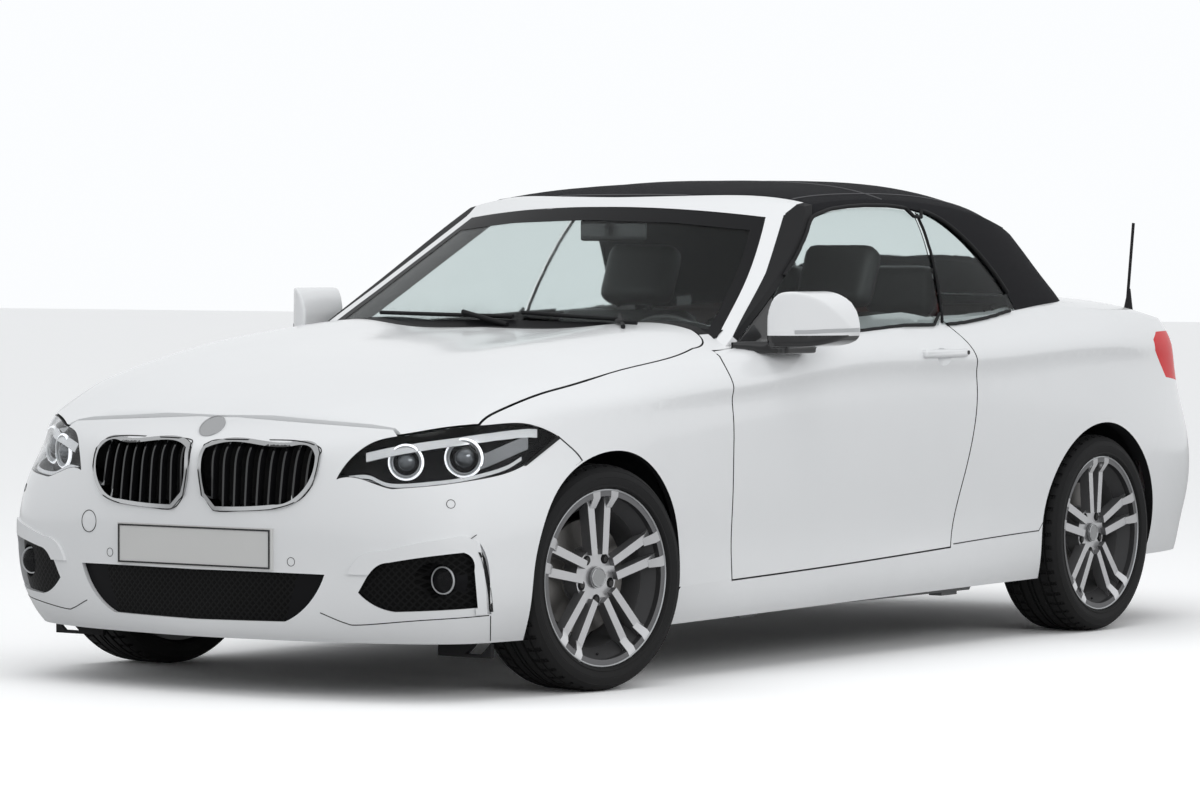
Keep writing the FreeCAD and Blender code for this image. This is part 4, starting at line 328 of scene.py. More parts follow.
def piece(name, bm, body, slot, *finishes):
    """Object from a bmesh, at the origin, riding on a body."""
    name = name.replace(" ", "_")
    mesh = bpy.data.meshes.new(name)
    bm.to_mesh(mesh)
    bm.free()
    for label in finishes:
        mesh.materials.append(material(label))
    obj = bpy.data.objects.new(name, mesh)
    bpy.context.scene.collection.objects.link(obj)
    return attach(obj, body)


def body_named(node):
    bodies = frame["record"]["behaviour"]["bodies"]
    return next(body for body, nodes in bodies.items() if node in nodes)


def slot_of(node):
    return next(part["material_slot"] for part in frame["record"]["subparts"] if part["node"] == node)


def merged(node):
    """A CAD node's mesh as a bmesh with its loose triangles joined."""
    bm = bmesh.new()
    bm.from_mesh(frame["nodes"][node].data)
    bmesh.ops.remove_doubles(bm, verts=bm.verts, dist=MERGE_DISTANCE)
    return bm


def dressed(node, *finishes, angle=SHARP_EDGE):
    """Smooth-shaded copy that stands for a CAD node."""
    bm = merged(node)
    shade(bm, angle)
    obj = piece(node + "_dressed", bm, body_named(node), slot_of(node), *finishes)
    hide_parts(node)
    return obj


def sorted_faces(bm, choose):
    """Gives each face the index that a function of it returns."""
    for face in bm.faces:
        face.material_index = choose(face)


def shown_as(node, bm, *finishes, angle=SHARP_EDGE):
    """Piece made from a bmesh that stands for a CAD node."""
    shade(bm, angle)
    obj = piece(node + "_dressed", bm, body_named(node), slot_of(node), *finishes)
    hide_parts(node)
    return obj


def softened(bm, voxel, rounds):
    """Even, rounded copy of a closed mesh."""
    mesh = bpy.data.meshes.new("rough form")
    bm.to_mesh(mesh)
    bm.free()
    rough = bpy.data.objects.new("rough form", mesh)
    bpy.context.scene.collection.objects.link(rough)
    remesh = rough.modifiers.new("even", "REMESH")
    remesh.mode = "VOXEL"
    remesh.voxel_size = voxel
    smooth = rough.modifiers.new("round", "SMOOTH")
    smooth.factor = 0.5
    smooth.iterations = rounds
    depsgraph = bpy.context.evaluated_depsgraph_get()
    even = bmesh.new()
    even.from_mesh(rough.evaluated_get(depsgraph).to_mesh())
    bpy.data.objects.remove(rough)
    return even


def tree_of(*nodes):
    """Search tree over the surfaces of CAD nodes."""
    bm = bmesh.new()
    for node in nodes:
        bm.from_mesh(frame["nodes"][node].data)
    tree = BVHTree.FromBMesh(bm)
    bm.free()
    return tree


def touched(tree, start, ahead):
    """Point and outward normal where a line meets a surface, or the nearest place on it."""
    hit, normal = tree.ray_cast(start, ahead)[:2]
    if hit is None:
        hit, normal = tree.find_nearest(start)[:2]
    return hit, -normal if normal.dot(ahead) > 0 else normal


def laid(bm, tree, low, high, ahead, lift, wall, rows=3, index=0):
    """Adds a thin closed band between two lines, laid on a surface along a direction."""
    ahead = Vector(ahead).normalized()
    top, foot = [], []
    for row in range(rows + 1):
        outer, inner = [], []
        for a, b in zip(low, high):
            hit, normal = touched(tree, Vector(a).lerp(Vector(b), row / rows), ahead)
            outer.append(hit + normal * lift)
            inner.append(hit + normal * (lift - wall))
        top.append(outer)
        foot.append(inner)
    closed_sheet(bm, top, foot, index)


def closed_sheet(bm, top, foot, index=0):
    """Adds a closed sheet between two grids of places."""
    top = [[bm.verts.new(place) for place in line] for line in top]
    foot = [[bm.verts.new(place) for place in line] for line in foot]
    faces = []
    rows, last = len(top) - 1, len(top[0]) - 1
    for row in range(rows):
        for i in range(last):
            below = row + 1
            faces.append(bm.faces.new((top[row][i], top[row][i + 1], top[below][i + 1], top[below][i])))
            faces.append(bm.faces.new((foot[row][i], foot[below][i], foot[below][i + 1], foot[row][i + 1])))
        for i in (0, last):
            faces.append(bm.faces.new((top[row][i], top[row + 1][i], foot[row + 1][i], foot[row][i])))
    for i in range(last):
        for row in (0, rows):
            faces.append(bm.faces.new((top[row][i], top[row][i + 1], foot[row][i + 1], foot[row][i])))
    for face in faces:
        face.material_index = index
    bmesh.ops.recalc_face_normals(bm, faces=faces)


def eased(points, spans=6):
    """More points along a line, on a smooth curve through the given ones."""
    line = [Vector(point) for point in points]
    line = [line[0] * 2 - line[1]] + line + [line[-1] * 2 - line[-2]]
    smooth = []
    for i in range(1, len(line) - 2):
        for step in range(spans):
            t = step / spans
            a, b, c, d = line[i - 1:i + 3]
            smooth.append((b * 2 + (c - a) * t + (a * 2 - b * 5 + c * 4 - d) * t ** 2
                           + (b * 3 - a - c * 3 + d) * t ** 3) / 2)
    return smooth + [line[-2]]


def disc(bm, centre, axis, radius, wall, segments=32, index=0, top_share=1.0):
    """Adds a short cylinder or cone whose middle is at a point."""
    turn = Vector((0, 0, 1)).rotation_difference(Vector(axis)).to_matrix().to_4x4()
    made = bmesh.ops.create_cone(bm, cap_ends=True, cap_tris=False, segments=segments, radius1=radius,
                                 radius2=radius * top_share, depth=wall,
                                 matrix=Matrix.Translation(centre) @ turn)["verts"]
    for face in {face for vert in made for face in vert.link_faces}:
        face.material_index = index


def hoop(bm, centre, axis, radius, bar, segments=48, sides=10, index=0):
    """Adds a torus by spinning a small circle."""
    axis = Vector(axis).normalized()
    outwards = axis.orthogonal().normalized()
    turn = Matrix((outwards, axis.cross(outwards), axis)).transposed().to_4x4()
    turn = turn @ Matrix.Rotation(RIGHT_ANGLE, 4, "X")
    place = Matrix.Translation(Vector(centre) + outwards * radius) @ turn
    made = bmesh.ops.create_circle(bm, segments=sides, radius=bar, matrix=place)["verts"]
    edges = list({edge for vert in made for edge in vert.link_edges})
    bmesh.ops.spin(bm, geom=made + edges, cent=centre, axis=axis, angle=2 * HALF_TURN, steps=segments,
                   use_merge=True)
    faces = {face for vert in bm.verts if vert.is_valid for face in vert.link_faces
             if abs((vert.co - Vector(centre)).length - radius) < 2 * bar}
    for face in faces:
        face.material_index = index


def tube(bm, points, radius, sides=8, index=0):
    """Adds a round bar along a line of points."""
    rings = []
    for i, point in enumerate(points):
        ahead = (Vector(points[min(i + 1, len(points) - 1)]) - Vector(points[max(i - 1, 0)])).normalized()
        turn = Vector((0, 0, 1)).rotation_difference(ahead).to_matrix().to_4x4()
        rings.append(bmesh.ops.create_circle(bm, segments=sides, radius=radius,
                                             matrix=Matrix.Translation(point) @ turn)["verts"])
    for near, far in zip(rings, rings[1:]):
        edges = [edge for ring in (near, far) for vert in ring for edge in vert.link_edges
                 if edge.other_vert(vert) in ring]
        for face in bmesh.ops.bridge_loops(bm, edges=list(set(edges)))["faces"]:
            face.material_index = index
    for ring in (rings[0], rings[-1]):
        bm.faces.new(ring).material_index = index


def block(bm, low, high, index=0, round_off=0.0):
    """Adds a box between two corners, its edges rounded off."""
    low, high = Vector(low), Vector(high)
    size = high - low
    place = Matrix.Translation((low + high) / 2) @ Matrix.Diagonal((*size, 1))
    made = bmesh.ops.create_cube(bm, size=1.0, matrix=place)["verts"]
    edges = list({edge for vert in made for edge in vert.link_edges})
    faces = {face for vert in made for face in vert.link_faces}
    if round_off:
        faces |= set(bmesh.ops.bevel(bm, geom=edges, offset=round_off, affect="EDGES", segments=3,
                                     profile=0.5, material=-1)["faces"])
    for face in faces:
        if face.is_valid:
            face.material_index = index


# Which CAD nodes are painted, glazed or given one plain finish

PAINTED = ("front_bumper", "bonnet", "front_wings", "door_left", "door_right", "quarter_panels",
           "side_skirts", "rear_deck", "boot_lid", "rear_bumper", "windscreen_frame")
GLAZED = ("rear_window", "quarter_windows", "door_glass_left", "door_glass_right")
PLAIN = (("floor_pan", "primer"), ("front_structure", "primer"), ("front_subframe", "dark steel"),
         ("rear_subframe", "dark steel"), ("engine_block", "dark steel"), ("exhaust", "steel tube"),
         ("arch_liners", "matt black"), ("knuckle_left", "dark steel"), ("knuckle_right", "dark steel"),
         ("dashboard", "cabin plastic"), ("aerial", "matt black"),
         ("cowl_panel", "matt black"), ("steering_wheel", "leather"))


class CarLook(bpy.types.PropertyGroup):
    paint: FloatVectorProperty(name="Paint", description="Colour of the body", subtype="COLOR",
                               default=(0.79, 0.80, 0.81), min=0.0, max=1.0)
    glass: FloatVectorProperty(name="Glass", description="Tint of the windows", subtype="COLOR",
                               default=(0.80, 0.85, 0.845), min=0.0, max=1.0)


class CarStage(bpy.types.PropertyGroup):
    camera_place: FloatVectorProperty(name="Camera", description="Where the camera stands",
                                      subtype="TRANSLATION", default=(12.6704, 8.6648, 1.2107))
    camera_yaw: FloatProperty(name="Yaw", description="Turn of the view about the vertical", subtype="ANGLE",
                              default=math.radians(215.0014))
    camera_pitch: FloatProperty(name="Pitch", description="Tilt of the view", subtype="ANGLE",
                                default=math.radians(-1.7504))
    camera_roll: FloatProperty(name="Roll", description="Roll of the view", subtype="ANGLE",
                               default=math.radians(0.1243))
    lens: FloatProperty(name="Lens", description="Focal length in millimetres on a 36 mm sensor",
                        default=150.626)
    floor_size: FloatProperty(name="Floor size", description="Side of the floor", subtype="DISTANCE",
                              default=120.0)
    key_power: FloatProperty(name="Key light", description="Power in watts of the large light over the car",
                             default=110.0)
    side_power: FloatProperty(name="Side light", description="Power in watts of the light at the car's left",
                              default=200.0)
    sky_level: FloatProperty(name="Sky", description="Brightness of the surroundings overhead", default=0.74)
    horizon_level: FloatProperty(name="Horizon", description="Brightness low around the car", default=0.95)
    floor_bounce: FloatProperty(name="Floor bounce", description="Share of light the floor gives the body",
                                default=0.52)
    floor_level: FloatProperty(name="Floor level", description="Brightness of the floor in the picture",
                               default=1.14)
    backdrop_level: FloatProperty(name="Backdrop", description="Brightness of the backdrop in the picture",
                                  default=1.0)


# Places on the body, as on the drawings: along the car, and shares of half its width and its height

LENGTH = 4.432
HALF_WIDTH = 0.887
HEIGHT = 1.418
WHEELBASE = 2.690
FRONT_OVERHANG = 0.750
FRONT_AXLE_X = LENGTH / 2 - FRONT_OVERHANG
REAR_AXLE_X = FRONT_AXLE_X - WHEELBASE
REAR_OVERHANG = LENGTH - WHEELBASE - FRONT_OVERHANG
LAMP_TURN = math.radians(36.9)
OUTSIDE = 1.6
BOTH_SIDES = (LEFT, RIGHT)
NAMED_SIDES = ((LEFT, "left"), (RIGHT, "right"))


def x_at(share):
    """Place along the car: 2 nose, 1 front axle, 0 rear axle, -1 tail."""
    if share > 1:
        return FRONT_AXLE_X + (share - 1) * FRONT_OVERHANG
    if share < 0:
        return REAR_AXLE_X + share * REAR_OVERHANG
    return REAR_AXLE_X + share * WHEELBASE


def lamp_point(pair, side, depth=OUTSIDE):
    """Point in front of a front corner, from its place across the lamps' direction and its height."""
    across, height = pair[0] * HALF_WIDTH, pair[1] * HEIGHT
    x = FRONT_AXLE_X + depth * math.cos(LAMP_TURN) - across * math.sin(LAMP_TURN)
    y = depth * math.sin(LAMP_TURN) + across * math.cos(LAMP_TURN)
    return Vector((x, side * y, height))


def lamp_ahead(side):
    return Vector((-math.cos(LAMP_TURN), -side * math.sin(LAMP_TURN), 0))


def side_point(pair, side):
    return Vector((x_at(pair[0]), side * OUTSIDE, pair[1] * HEIGHT))


def front_point(pair, side):
    return Vector((LENGTH / 2 + OUTSIDE, side * pair[0] * HALF_WIDTH, pair[1] * HEIGHT))


def rear_point(pair, side):
    return Vector((-LENGTH / 2 - OUTSIDE, side * pair[0] * HALF_WIDTH, pair[1] * HEIGHT))


def strip(bm, tree, at, line, side, ahead, near, far, lift, wall, rows=1, index=0):
    """Lays a band on a surface between two copies of a drawn line, each moved by its own shift."""
    low, high = [[at((v.x + across, v.y + up), side) for v in line] for across, up in (near, far)]
    laid(bm, tree, low, high, ahead, lift, wall, rows=rows, index=index)


def first_met(tree, side, places, cover=None):
    """First of a row of places, seen from the side, where a surface shows and nothing covers it."""
    inwards = Vector((0, -side, 0))
    for x, z in places:
        start = Vector((x, side * OUTSIDE, z))
        hit = tree.ray_cast(start, inwards)[0]
        over = cover.ray_cast(start, inwards)[0] if cover is not None else None
        if hit and (over is None or abs(over.y) < abs(hit.y)):
            return hit
    return None


def border_bars(bm, back, front, low, high, edge, bar, index=0):
    """Adds a thin border just inside a plate's edge, between two corners given across and up."""
    for z in (low[1] + edge, high[1] - edge - bar):
        block(bm, (back, low[0] + edge, z), (front, high[0] - edge, z + bar), index=index)
    for y in (low[0] + edge, high[0] - edge - bar):
        block(bm, (back, y, low[1] + edge + bar), (front, y + bar, high[1] - edge - bar), index=index)


# Shut faces round the doors and arches, painted black as shade, and the windscreen's outline in shares of
# height and half width

AXLE_HEIGHT = 0.310
ARCH_REACH = 0.358
HANDLE_CENTRE = Vector((-0.288, 0.85, 0.893))
HANDLE_REACH = 0.150
HANDLE_DEPTH = 0.055
DOOR_SPAN = (-0.480, 0.860)
DOOR_MARGIN = 0.060
ARCH_OUTWARD = 0.5
PANEL_OUTWARD = 0.25
PANEL_UPWARD = 0.6
SCREEN_SIDE = eased((
    (0.672, 0.8045), (0.736, 0.7600), (0.800, 0.7125), (0.860, 0.6605), (0.916, 0.6075)))
PILLAR_EDGE = tuple((height * HEIGHT, place * HALF_WIDTH) for height, place in (
    (0.600, 0.893), (0.672, 0.850), (0.800, 0.762), (0.916, 0.660)))
SCREEN_FOOT = ((0.0, 0.684), (0.400, 0.681), (0.8045, 0.668))
SCREEN_HEAD = ((0.0, 0.9375), (0.330, 0.9315), (0.6075, 0.9155))
PANE_COLUMNS = 48
PANE_ROWS = 28
PANE_WALL = 0.0045
NEAR = 0.002
SIDE_BAND = 0.036
HEAD_BAND = 0.028
TRIM_DEPTH = 0.120
TRIM_INSET = 0.024
TRIM_GAP = 0.012
FOOT_BAND = 0.018
BAND_LIFT = 0.0008
BAND_ROWS = 3
BAND_STEPS = 18


def level(points, along):
    """Second value of a drawn line at a place given by its first value."""
    for (a, low), (b, high) in zip(points, points[1:]):
        if along <= b:
            return low + (high - low) * (along - a) / (b - a)
    return points[-1][1]


def pane_terms(y, z):
    return [y ** across * z ** up for across in (0, 2, 4) for up in range(3)]


def pane_point(fit, y, z):
    return Vector((float(numpy.dot(fit, pane_terms(y, z))), y, z))


def pane_normal(fit, point):
    """Outward normal of the fitted pane, from two near places on it."""
    along = pane_point(fit, point.y + NEAR, point.z) - point
    up = pane_point(fit, point.y, point.z + NEAR) - point
    return along.cross(up).normalized()


def band(bm, fit, line, run):
    """Adds a thin band on the fitted pane, from a line drawn in shares of width and height."""
    outer, inner = [], []
    for step in range(BAND_ROWS + 1):
        across, up = run[0] * step / BAND_ROWS, run[1] * step / BAND_ROWS
        row = [pane_point(fit, (place + across) * HALF_WIDTH, (height + up) * HEIGHT)
               for place, height in line]
        outer.append([point + pane_normal(fit, point) * BAND_LIFT for point in row])
        inner.append([point + pane_normal(fit, point) * BAND_LIFT / 4 for point in row])
    closed_sheet(bm, outer, inner)


def in_arch(middle):
    """True inside the lip of a wheel arch."""
    rise = middle.z - AXLE_HEIGHT
    return min(math.hypot(middle.x - x, rise) for x in (FRONT_AXLE_X, REAR_AXLE_X)) < ARCH_REACH


def shade_and_trim_face(node, face):
    """True on the faces that show black: walls looking into a shut line or a wheel arch, and the bonnet's
    edges and underside, painted black as shade in the gaps; also the doors' inner skin, and the windscreen
    frame outside the pillar's edge and where it faces back or inwards.
    """
    middle, normal = face.calc_center_median(), face.normal
    outward = normal.y * (LEFT if middle.y > 0 else RIGHT)
    if in_arch(middle) and outward < ARCH_OUTWARD:
        return True
    if node == "bonnet":
        return normal.z < 0.12 and normal.x < 0.5
    if node in ("boot_lid", "rear_deck"):
        return abs(normal.y) > 0.85 or normal.x > 0.7
    if node.startswith("door"):
        from_handle = Vector((middle.x, abs(middle.y), middle.z)) - HANDLE_CENTRE
        near_handle = from_handle.length < HANDLE_REACH and from_handle.y > -HANDLE_DEPTH
        return outward < PANEL_OUTWARD and normal.z < PANEL_UPWARD and not near_handle
    if node == "front_wings":
        return outward < 0.1 and normal.z < 0.5
    if node in ("quarter_panels", "side_skirts"):
        beside_door = DOOR_SPAN[0] - DOOR_MARGIN < middle.x < DOOR_SPAN[1] + DOOR_MARGIN
        return beside_door and outward < PANEL_OUTWARD and normal.z < PANEL_UPWARD
    if node == "windscreen_frame":
        return abs(middle.y) > level(PILLAR_EDGE, middle.z) or normal.x < -0.5 or outward < -0.6
    return False


def cut_along(bm, line):
    """Cuts a mesh on both sides along a line drawn as height and distance from the middle."""
    for (low, near), (high, far) in zip(line, line[1:]):
        for side in (LEFT, RIGHT):
            run = Vector((0, side * (far - near), high - low))
            bmesh.ops.bisect_plane(bm, geom=bm.verts[:] + bm.edges[:] + bm.faces[:], dist=MERGE_DISTANCE,
                                   plane_co=(0, side * near, low), plane_no=run.cross(Vector((1, 0, 0))))


class OBJECT_OT_car_panels(bpy.types.Operator):
    """Paint the body panels, glaze the windows and finish the plain pieces"""
    bl_idname = "object.car_panels"
    bl_label = "Body Panels"

    def execute(self, context):
        for node in PAINTED:
            bm = merged(node)
            if node == "windscreen_frame":
                cut_along(bm, PILLAR_EDGE)
            for face in bm.faces:
                face.normal_update()
            # The faces looking into shut lines and arches take the matt black as painted shade.
            sorted_faces(bm, lambda face: 1 if shade_and_trim_face(node, face) else 0)
            shown_as(node, bm, "white paint", "matt black")
        for node in GLAZED:
            dressed(node, "window glass")
        for node, label in PLAIN:
            dressed(node, label)
        self.screen()
        return {"FINISHED"}

    def screen(self):
        """Smooth pane in place of the windscreen's long facets."""
        tree, side, places = tree_of("windscreen"), [(point.x, point.y) for point in SCREEN_SIDE], []

        def foot_at(share):
            return level(SCREEN_FOOT, abs(share) * SCREEN_FOOT[-1][0])

        def head_at(share):
            return level(SCREEN_HEAD, abs(share) * SCREEN_HEAD[-1][0])

        for row in range(PANE_ROWS + 1):
            line = []
            for column in range(PANE_COLUMNS + 1):
                share = column / PANE_COLUMNS * 2 - 1
                height = foot_at(share) + (head_at(share) - foot_at(share)) * row / PANE_ROWS
                line.append((share * level(side, height) * HALF_WIDTH, height * HEIGHT))
            places.append(line)
        backwards = Vector((-1, 0, 0))
        hits = [tree.ray_cast(Vector((LENGTH, y, z)), backwards)[0] for line in places for y, z in line]
        hits = [hit for hit in hits if hit is not None]
        fit = numpy.linalg.lstsq(numpy.array([pane_terms(hit.y, hit.z) for hit in hits]),
                                 numpy.array([hit.x for hit in hits]), rcond=None)[0]
        outer, inner = [], []
        for line in places:
            outer.append([pane_point(fit, y, z) for y, z in line])
            inner.append([point - pane_normal(fit, point) * PANE_WALL for point in outer[-1]])
        bm = bmesh.new()
        closed_sheet(bm, outer, inner)
        shown_as("windscreen", bm, "window glass", angle=math.radians(50))
        border = bmesh.new()
        for sign in BOTH_SIDES:
            band(border, fit, [(sign * place, height) for height, place in side], (-sign * SIDE_BAND, 0))
        reach = [(i - BAND_STEPS) / BAND_STEPS for i in range(2 * BAND_STEPS + 1)]
        band(border, fit, [(share * SCREEN_HEAD[-1][0], head_at(share)) for share in reach], (0, -HEAD_BAND))
        band(border, fit, [(share * SCREEN_FOOT[-1][0], foot_at(share)) for share in reach], (0, FOOT_BAND))
        shade(border)
        piece("windscreen border", border, "root", slot_of("windscreen"), "lamp black")
        lining = bmesh.new()
        for sign in BOTH_SIDES:
            rows = []
            for step in range(BAND_ROWS + 1):
                back = Vector((-TRIM_DEPTH * step / BAND_ROWS, 0, 0))
                gap = Vector((TRIM_GAP, 0, 0))
                rows.append([pane_point(fit, sign * (place - TRIM_INSET) * HALF_WIDTH, height * HEIGHT)
                             + back - gap for height, place in side])
            thin = Vector((0, -sign * PANE_WALL, 0))
            closed_sheet(lining, rows, [[point + thin for point in row] for row in rows])
        shade(lining)
        piece("pillar lining", lining, "root", slot_of("windscreen_frame"), "cabin plastic")


# Headlamps: each socket's place across and up, its radius and depth, and each strip's line, width and finish

LAMP_SOCKETS = ((0.145, 0.449, 0.045, 0.034), (0.318, 0.457, 0.049, 0.030))
LAMP_STRIPS = (
    (((0.022, 0.461), (0.120, 0.475), (0.260, 0.488), (0.400, 0.498), (0.500, 0.503), (0.548, 0.502)),
     0.017, 4),
    (((-0.030, 0.422), (0.030, 0.424), (0.100, 0.409), (0.247, 0.416), (0.366, 0.427), (0.450, 0.440),
      (0.500, 0.456)), 0.007, 4),
    (((0.372, 0.452), (0.420, 0.462), (0.470, 0.474), (0.520, 0.486)), 0.026, 6))
LAMP_STRIP_LIFT = -0.012
LAMP_STRIP_WALL = 0.003
LAMP_GLASS_WALL = 0.0025
COVER_FACING = 0.12
HALO_TURN = math.radians(24)
HALO_BAR = 0.0052
INNER_HALO_BAR = 0.0028
LENS_SHARE = 0.62
BLINKER_PLACE = (0.500, 0.480)
BLINKER_RADIUS = 0.011


class OBJECT_OT_car_headlamps(bpy.types.Operator):
    """Clear covers over black bowls, each with two projectors in bright rings"""
    bl_idname = "object.car_headlamps"
    bl_label = "Headlamps"

    def execute(self, context):
        cover = merged("headlamps")
        bowl = cover.copy()
        for bm, outer in ((cover, True), (bowl, False)):
            gone = []
            for face in bm.faces:
                side = LEFT if face.calc_center_median().y > 0 else RIGHT
                if (face.normal.dot(-lamp_ahead(side)) > COVER_FACING) != outer:
                    gone.append(face)
            bmesh.ops.delete(bm, geom=gone, context="FACES")
        bmesh.ops.solidify(cover, geom=cover.faces[:] + cover.edges[:] + cover.verts[:],
                           thickness=LAMP_GLASS_WALL)
        for face in bowl.faces:
            face.normal_flip()
        shade(cover)
        lamps = piece("headlamp covers", cover, "root", slot_of("headlamps"), "lamp glass")
        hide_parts("headlamps")
        shade(bowl)
        piece("headlamp bowls", bowl, "root", slot_of("headlamps"), "lamp black")
        tree = tree_of("headlamps")
        parts = bmesh.new()
        for side in BOTH_SIDES:
            ahead = lamp_ahead(side)
            facing = Vector((math.cos(HALO_TURN), side * math.sin(HALO_TURN), 0))
            for across, height, ring, depth in LAMP_SOCKETS:
                hit = touched(tree, lamp_point((across, height), side), ahead)[0]
                centre = hit + ahead * depth
                hoop(parts, centre, facing, ring - 0.001, HALO_BAR, index=0)
                hoop(parts, centre - facing * 0.004, facing, ring - 0.007, INNER_HALO_BAR, index=1)
                disc(parts, centre - facing * 0.010, facing, ring - 0.006, 0.012, index=2, top_share=0.86)
                lens = bmesh.ops.create_uvsphere(
                    parts, u_segments=32, v_segments=16, radius=ring * LENS_SHARE,
                    matrix=Matrix.Translation(centre - facing * 0.016))["verts"]
                for face in {face for vert in lens for face in vert.link_faces}:
                    face.material_index = 3
            for line, width, index in LAMP_STRIPS:
                strip(parts, tree, lamp_point, eased(line), side, ahead, (0, -width / 2), (0, width / 2),
                      LAMP_STRIP_LIFT, LAMP_STRIP_WALL, rows=3, index=index)
            blink = touched(tree, lamp_point(BLINKER_PLACE, side), ahead)[0]
            disc(parts, blink + ahead * 0.03, -ahead, BLINKER_RADIUS, 0.006, index=5)
        shade(parts)
        piece("headlamp insides", parts, "root", slot_of("headlamps"), "halo white", "silver trim",
              "lamp black", "lamp lens", "bright reflector", "amber", "dark reflector")
        return {"FINISHED"}


GRILLE_OUTLINE = ((0.036, 0.380), (0.020, 0.440), (0.027, 0.475), (0.066, 0.485), (0.210, 0.4865),
                  (0.350, 0.486), (0.420, 0.477), (0.439, 0.461), (0.434, 0.415), (0.390, 0.377),
                  (0.306, 0.359), (0.180, 0.353), (0.083, 0.352))
FRAME_BAND = 0.0118
PLATE_EDGE = 0.0035
PLATE_BAR = 0.0045
PLATE_BORDER_RISE = 0.002
LINE_LIFT = 0.0006
LINE_WALL = 0.002
SENSOR_RADIUS = 0.0115
SENSOR_BAR = 0.0009
FRONT_SENSORS = ((RIGHT, (0.347, 0.262)), (LEFT, (0.364, 0.260)))
CORNER_SENSOR = (0.279, 0.374)
TOW_COVER_PLACE = (0.443, 0.320)
TOW_COVER_RADIUS = 0.030
TOW_COVER_BAR = 0.0011
BUMPER_CREASE_SHADE = ((-0.112, 0.165), (-0.037, 0.147), (0.010, 0.144), (0.188, 0.155), (0.394, 0.163))
FOG_SLOT = ((0.366, 0.284), (0.378, 0.265), (0.391, 0.222), (0.397, 0.193), (0.400, 0.171))
FOG_SLOT_HALF = 0.0052
BADGE_PLACE = (0.0, 0.508)
BUMPER_CREASE_SHADE_WIDTH = 0.0018
JOINT_TOP = (0.397, 0.163)
JOINT_STEP = 0.0125
JOINT_STEPS = 5
FOG_ACROSS = 0.720
FOG_HEIGHT = 0.327
FOG_RADIUS = 0.034
FOG_RING_RADIUS = 0.036
FOG_RING_BAR = 0.003
FOG_BULGE = 0.35
FOG_DISCS = ((0.008, 0.033, 0.003, 2, 1.0), (0.005, 0.012, 0.004, 3, 0.7), (0.021, 0.058, 0.022, 4, 0.66))
SHADE_BACKINGS = (((1.95, -0.385, 0.505), (1.96, 0.385, 0.68)), ((1.95, -0.42, 0.205), (1.96, 0.42, 0.34)))
POST_LINE = ((0.145 * HEIGHT, 0.329 * HALF_WIDTH), (0.237 * HEIGHT, 0.378 * HALF_WIDTH))
CENTRE_INTAKE_REACH = 0.52
BADGE_RADIUS = 0.040


def outside_posts(middle):
    """True beside the slanted posts of the middle intake."""
    return level(POST_LINE, middle.z) < abs(middle.y) < CENTRE_INTAKE_REACH


def edge_distance(y, z, outline):
    """Distance of a point of the front view from an outline."""
    best = LENGTH
    corners = [Vector((a * HALF_WIDTH, b * HEIGHT)) for a, b in outline]
    place = Vector((y, z))
    for a, b in zip(corners, corners[1:] + corners[:1]):
        t = max(0, min(1, (place - a).dot(b - a) / (b - a).length_squared))
        best = min(best, (place - a.lerp(b, t)).length)
    return best


def ring_mark(bm, tree, start, ahead, radius, bar, lift=0.0, index=0, segments=32):
    """Thin round line on a surface."""
    hit, normal = touched(tree, Vector(start), Vector(ahead))
    hoop(bm, hit + normal * lift, normal, radius, bar, segments=segments, sides=6, index=index)


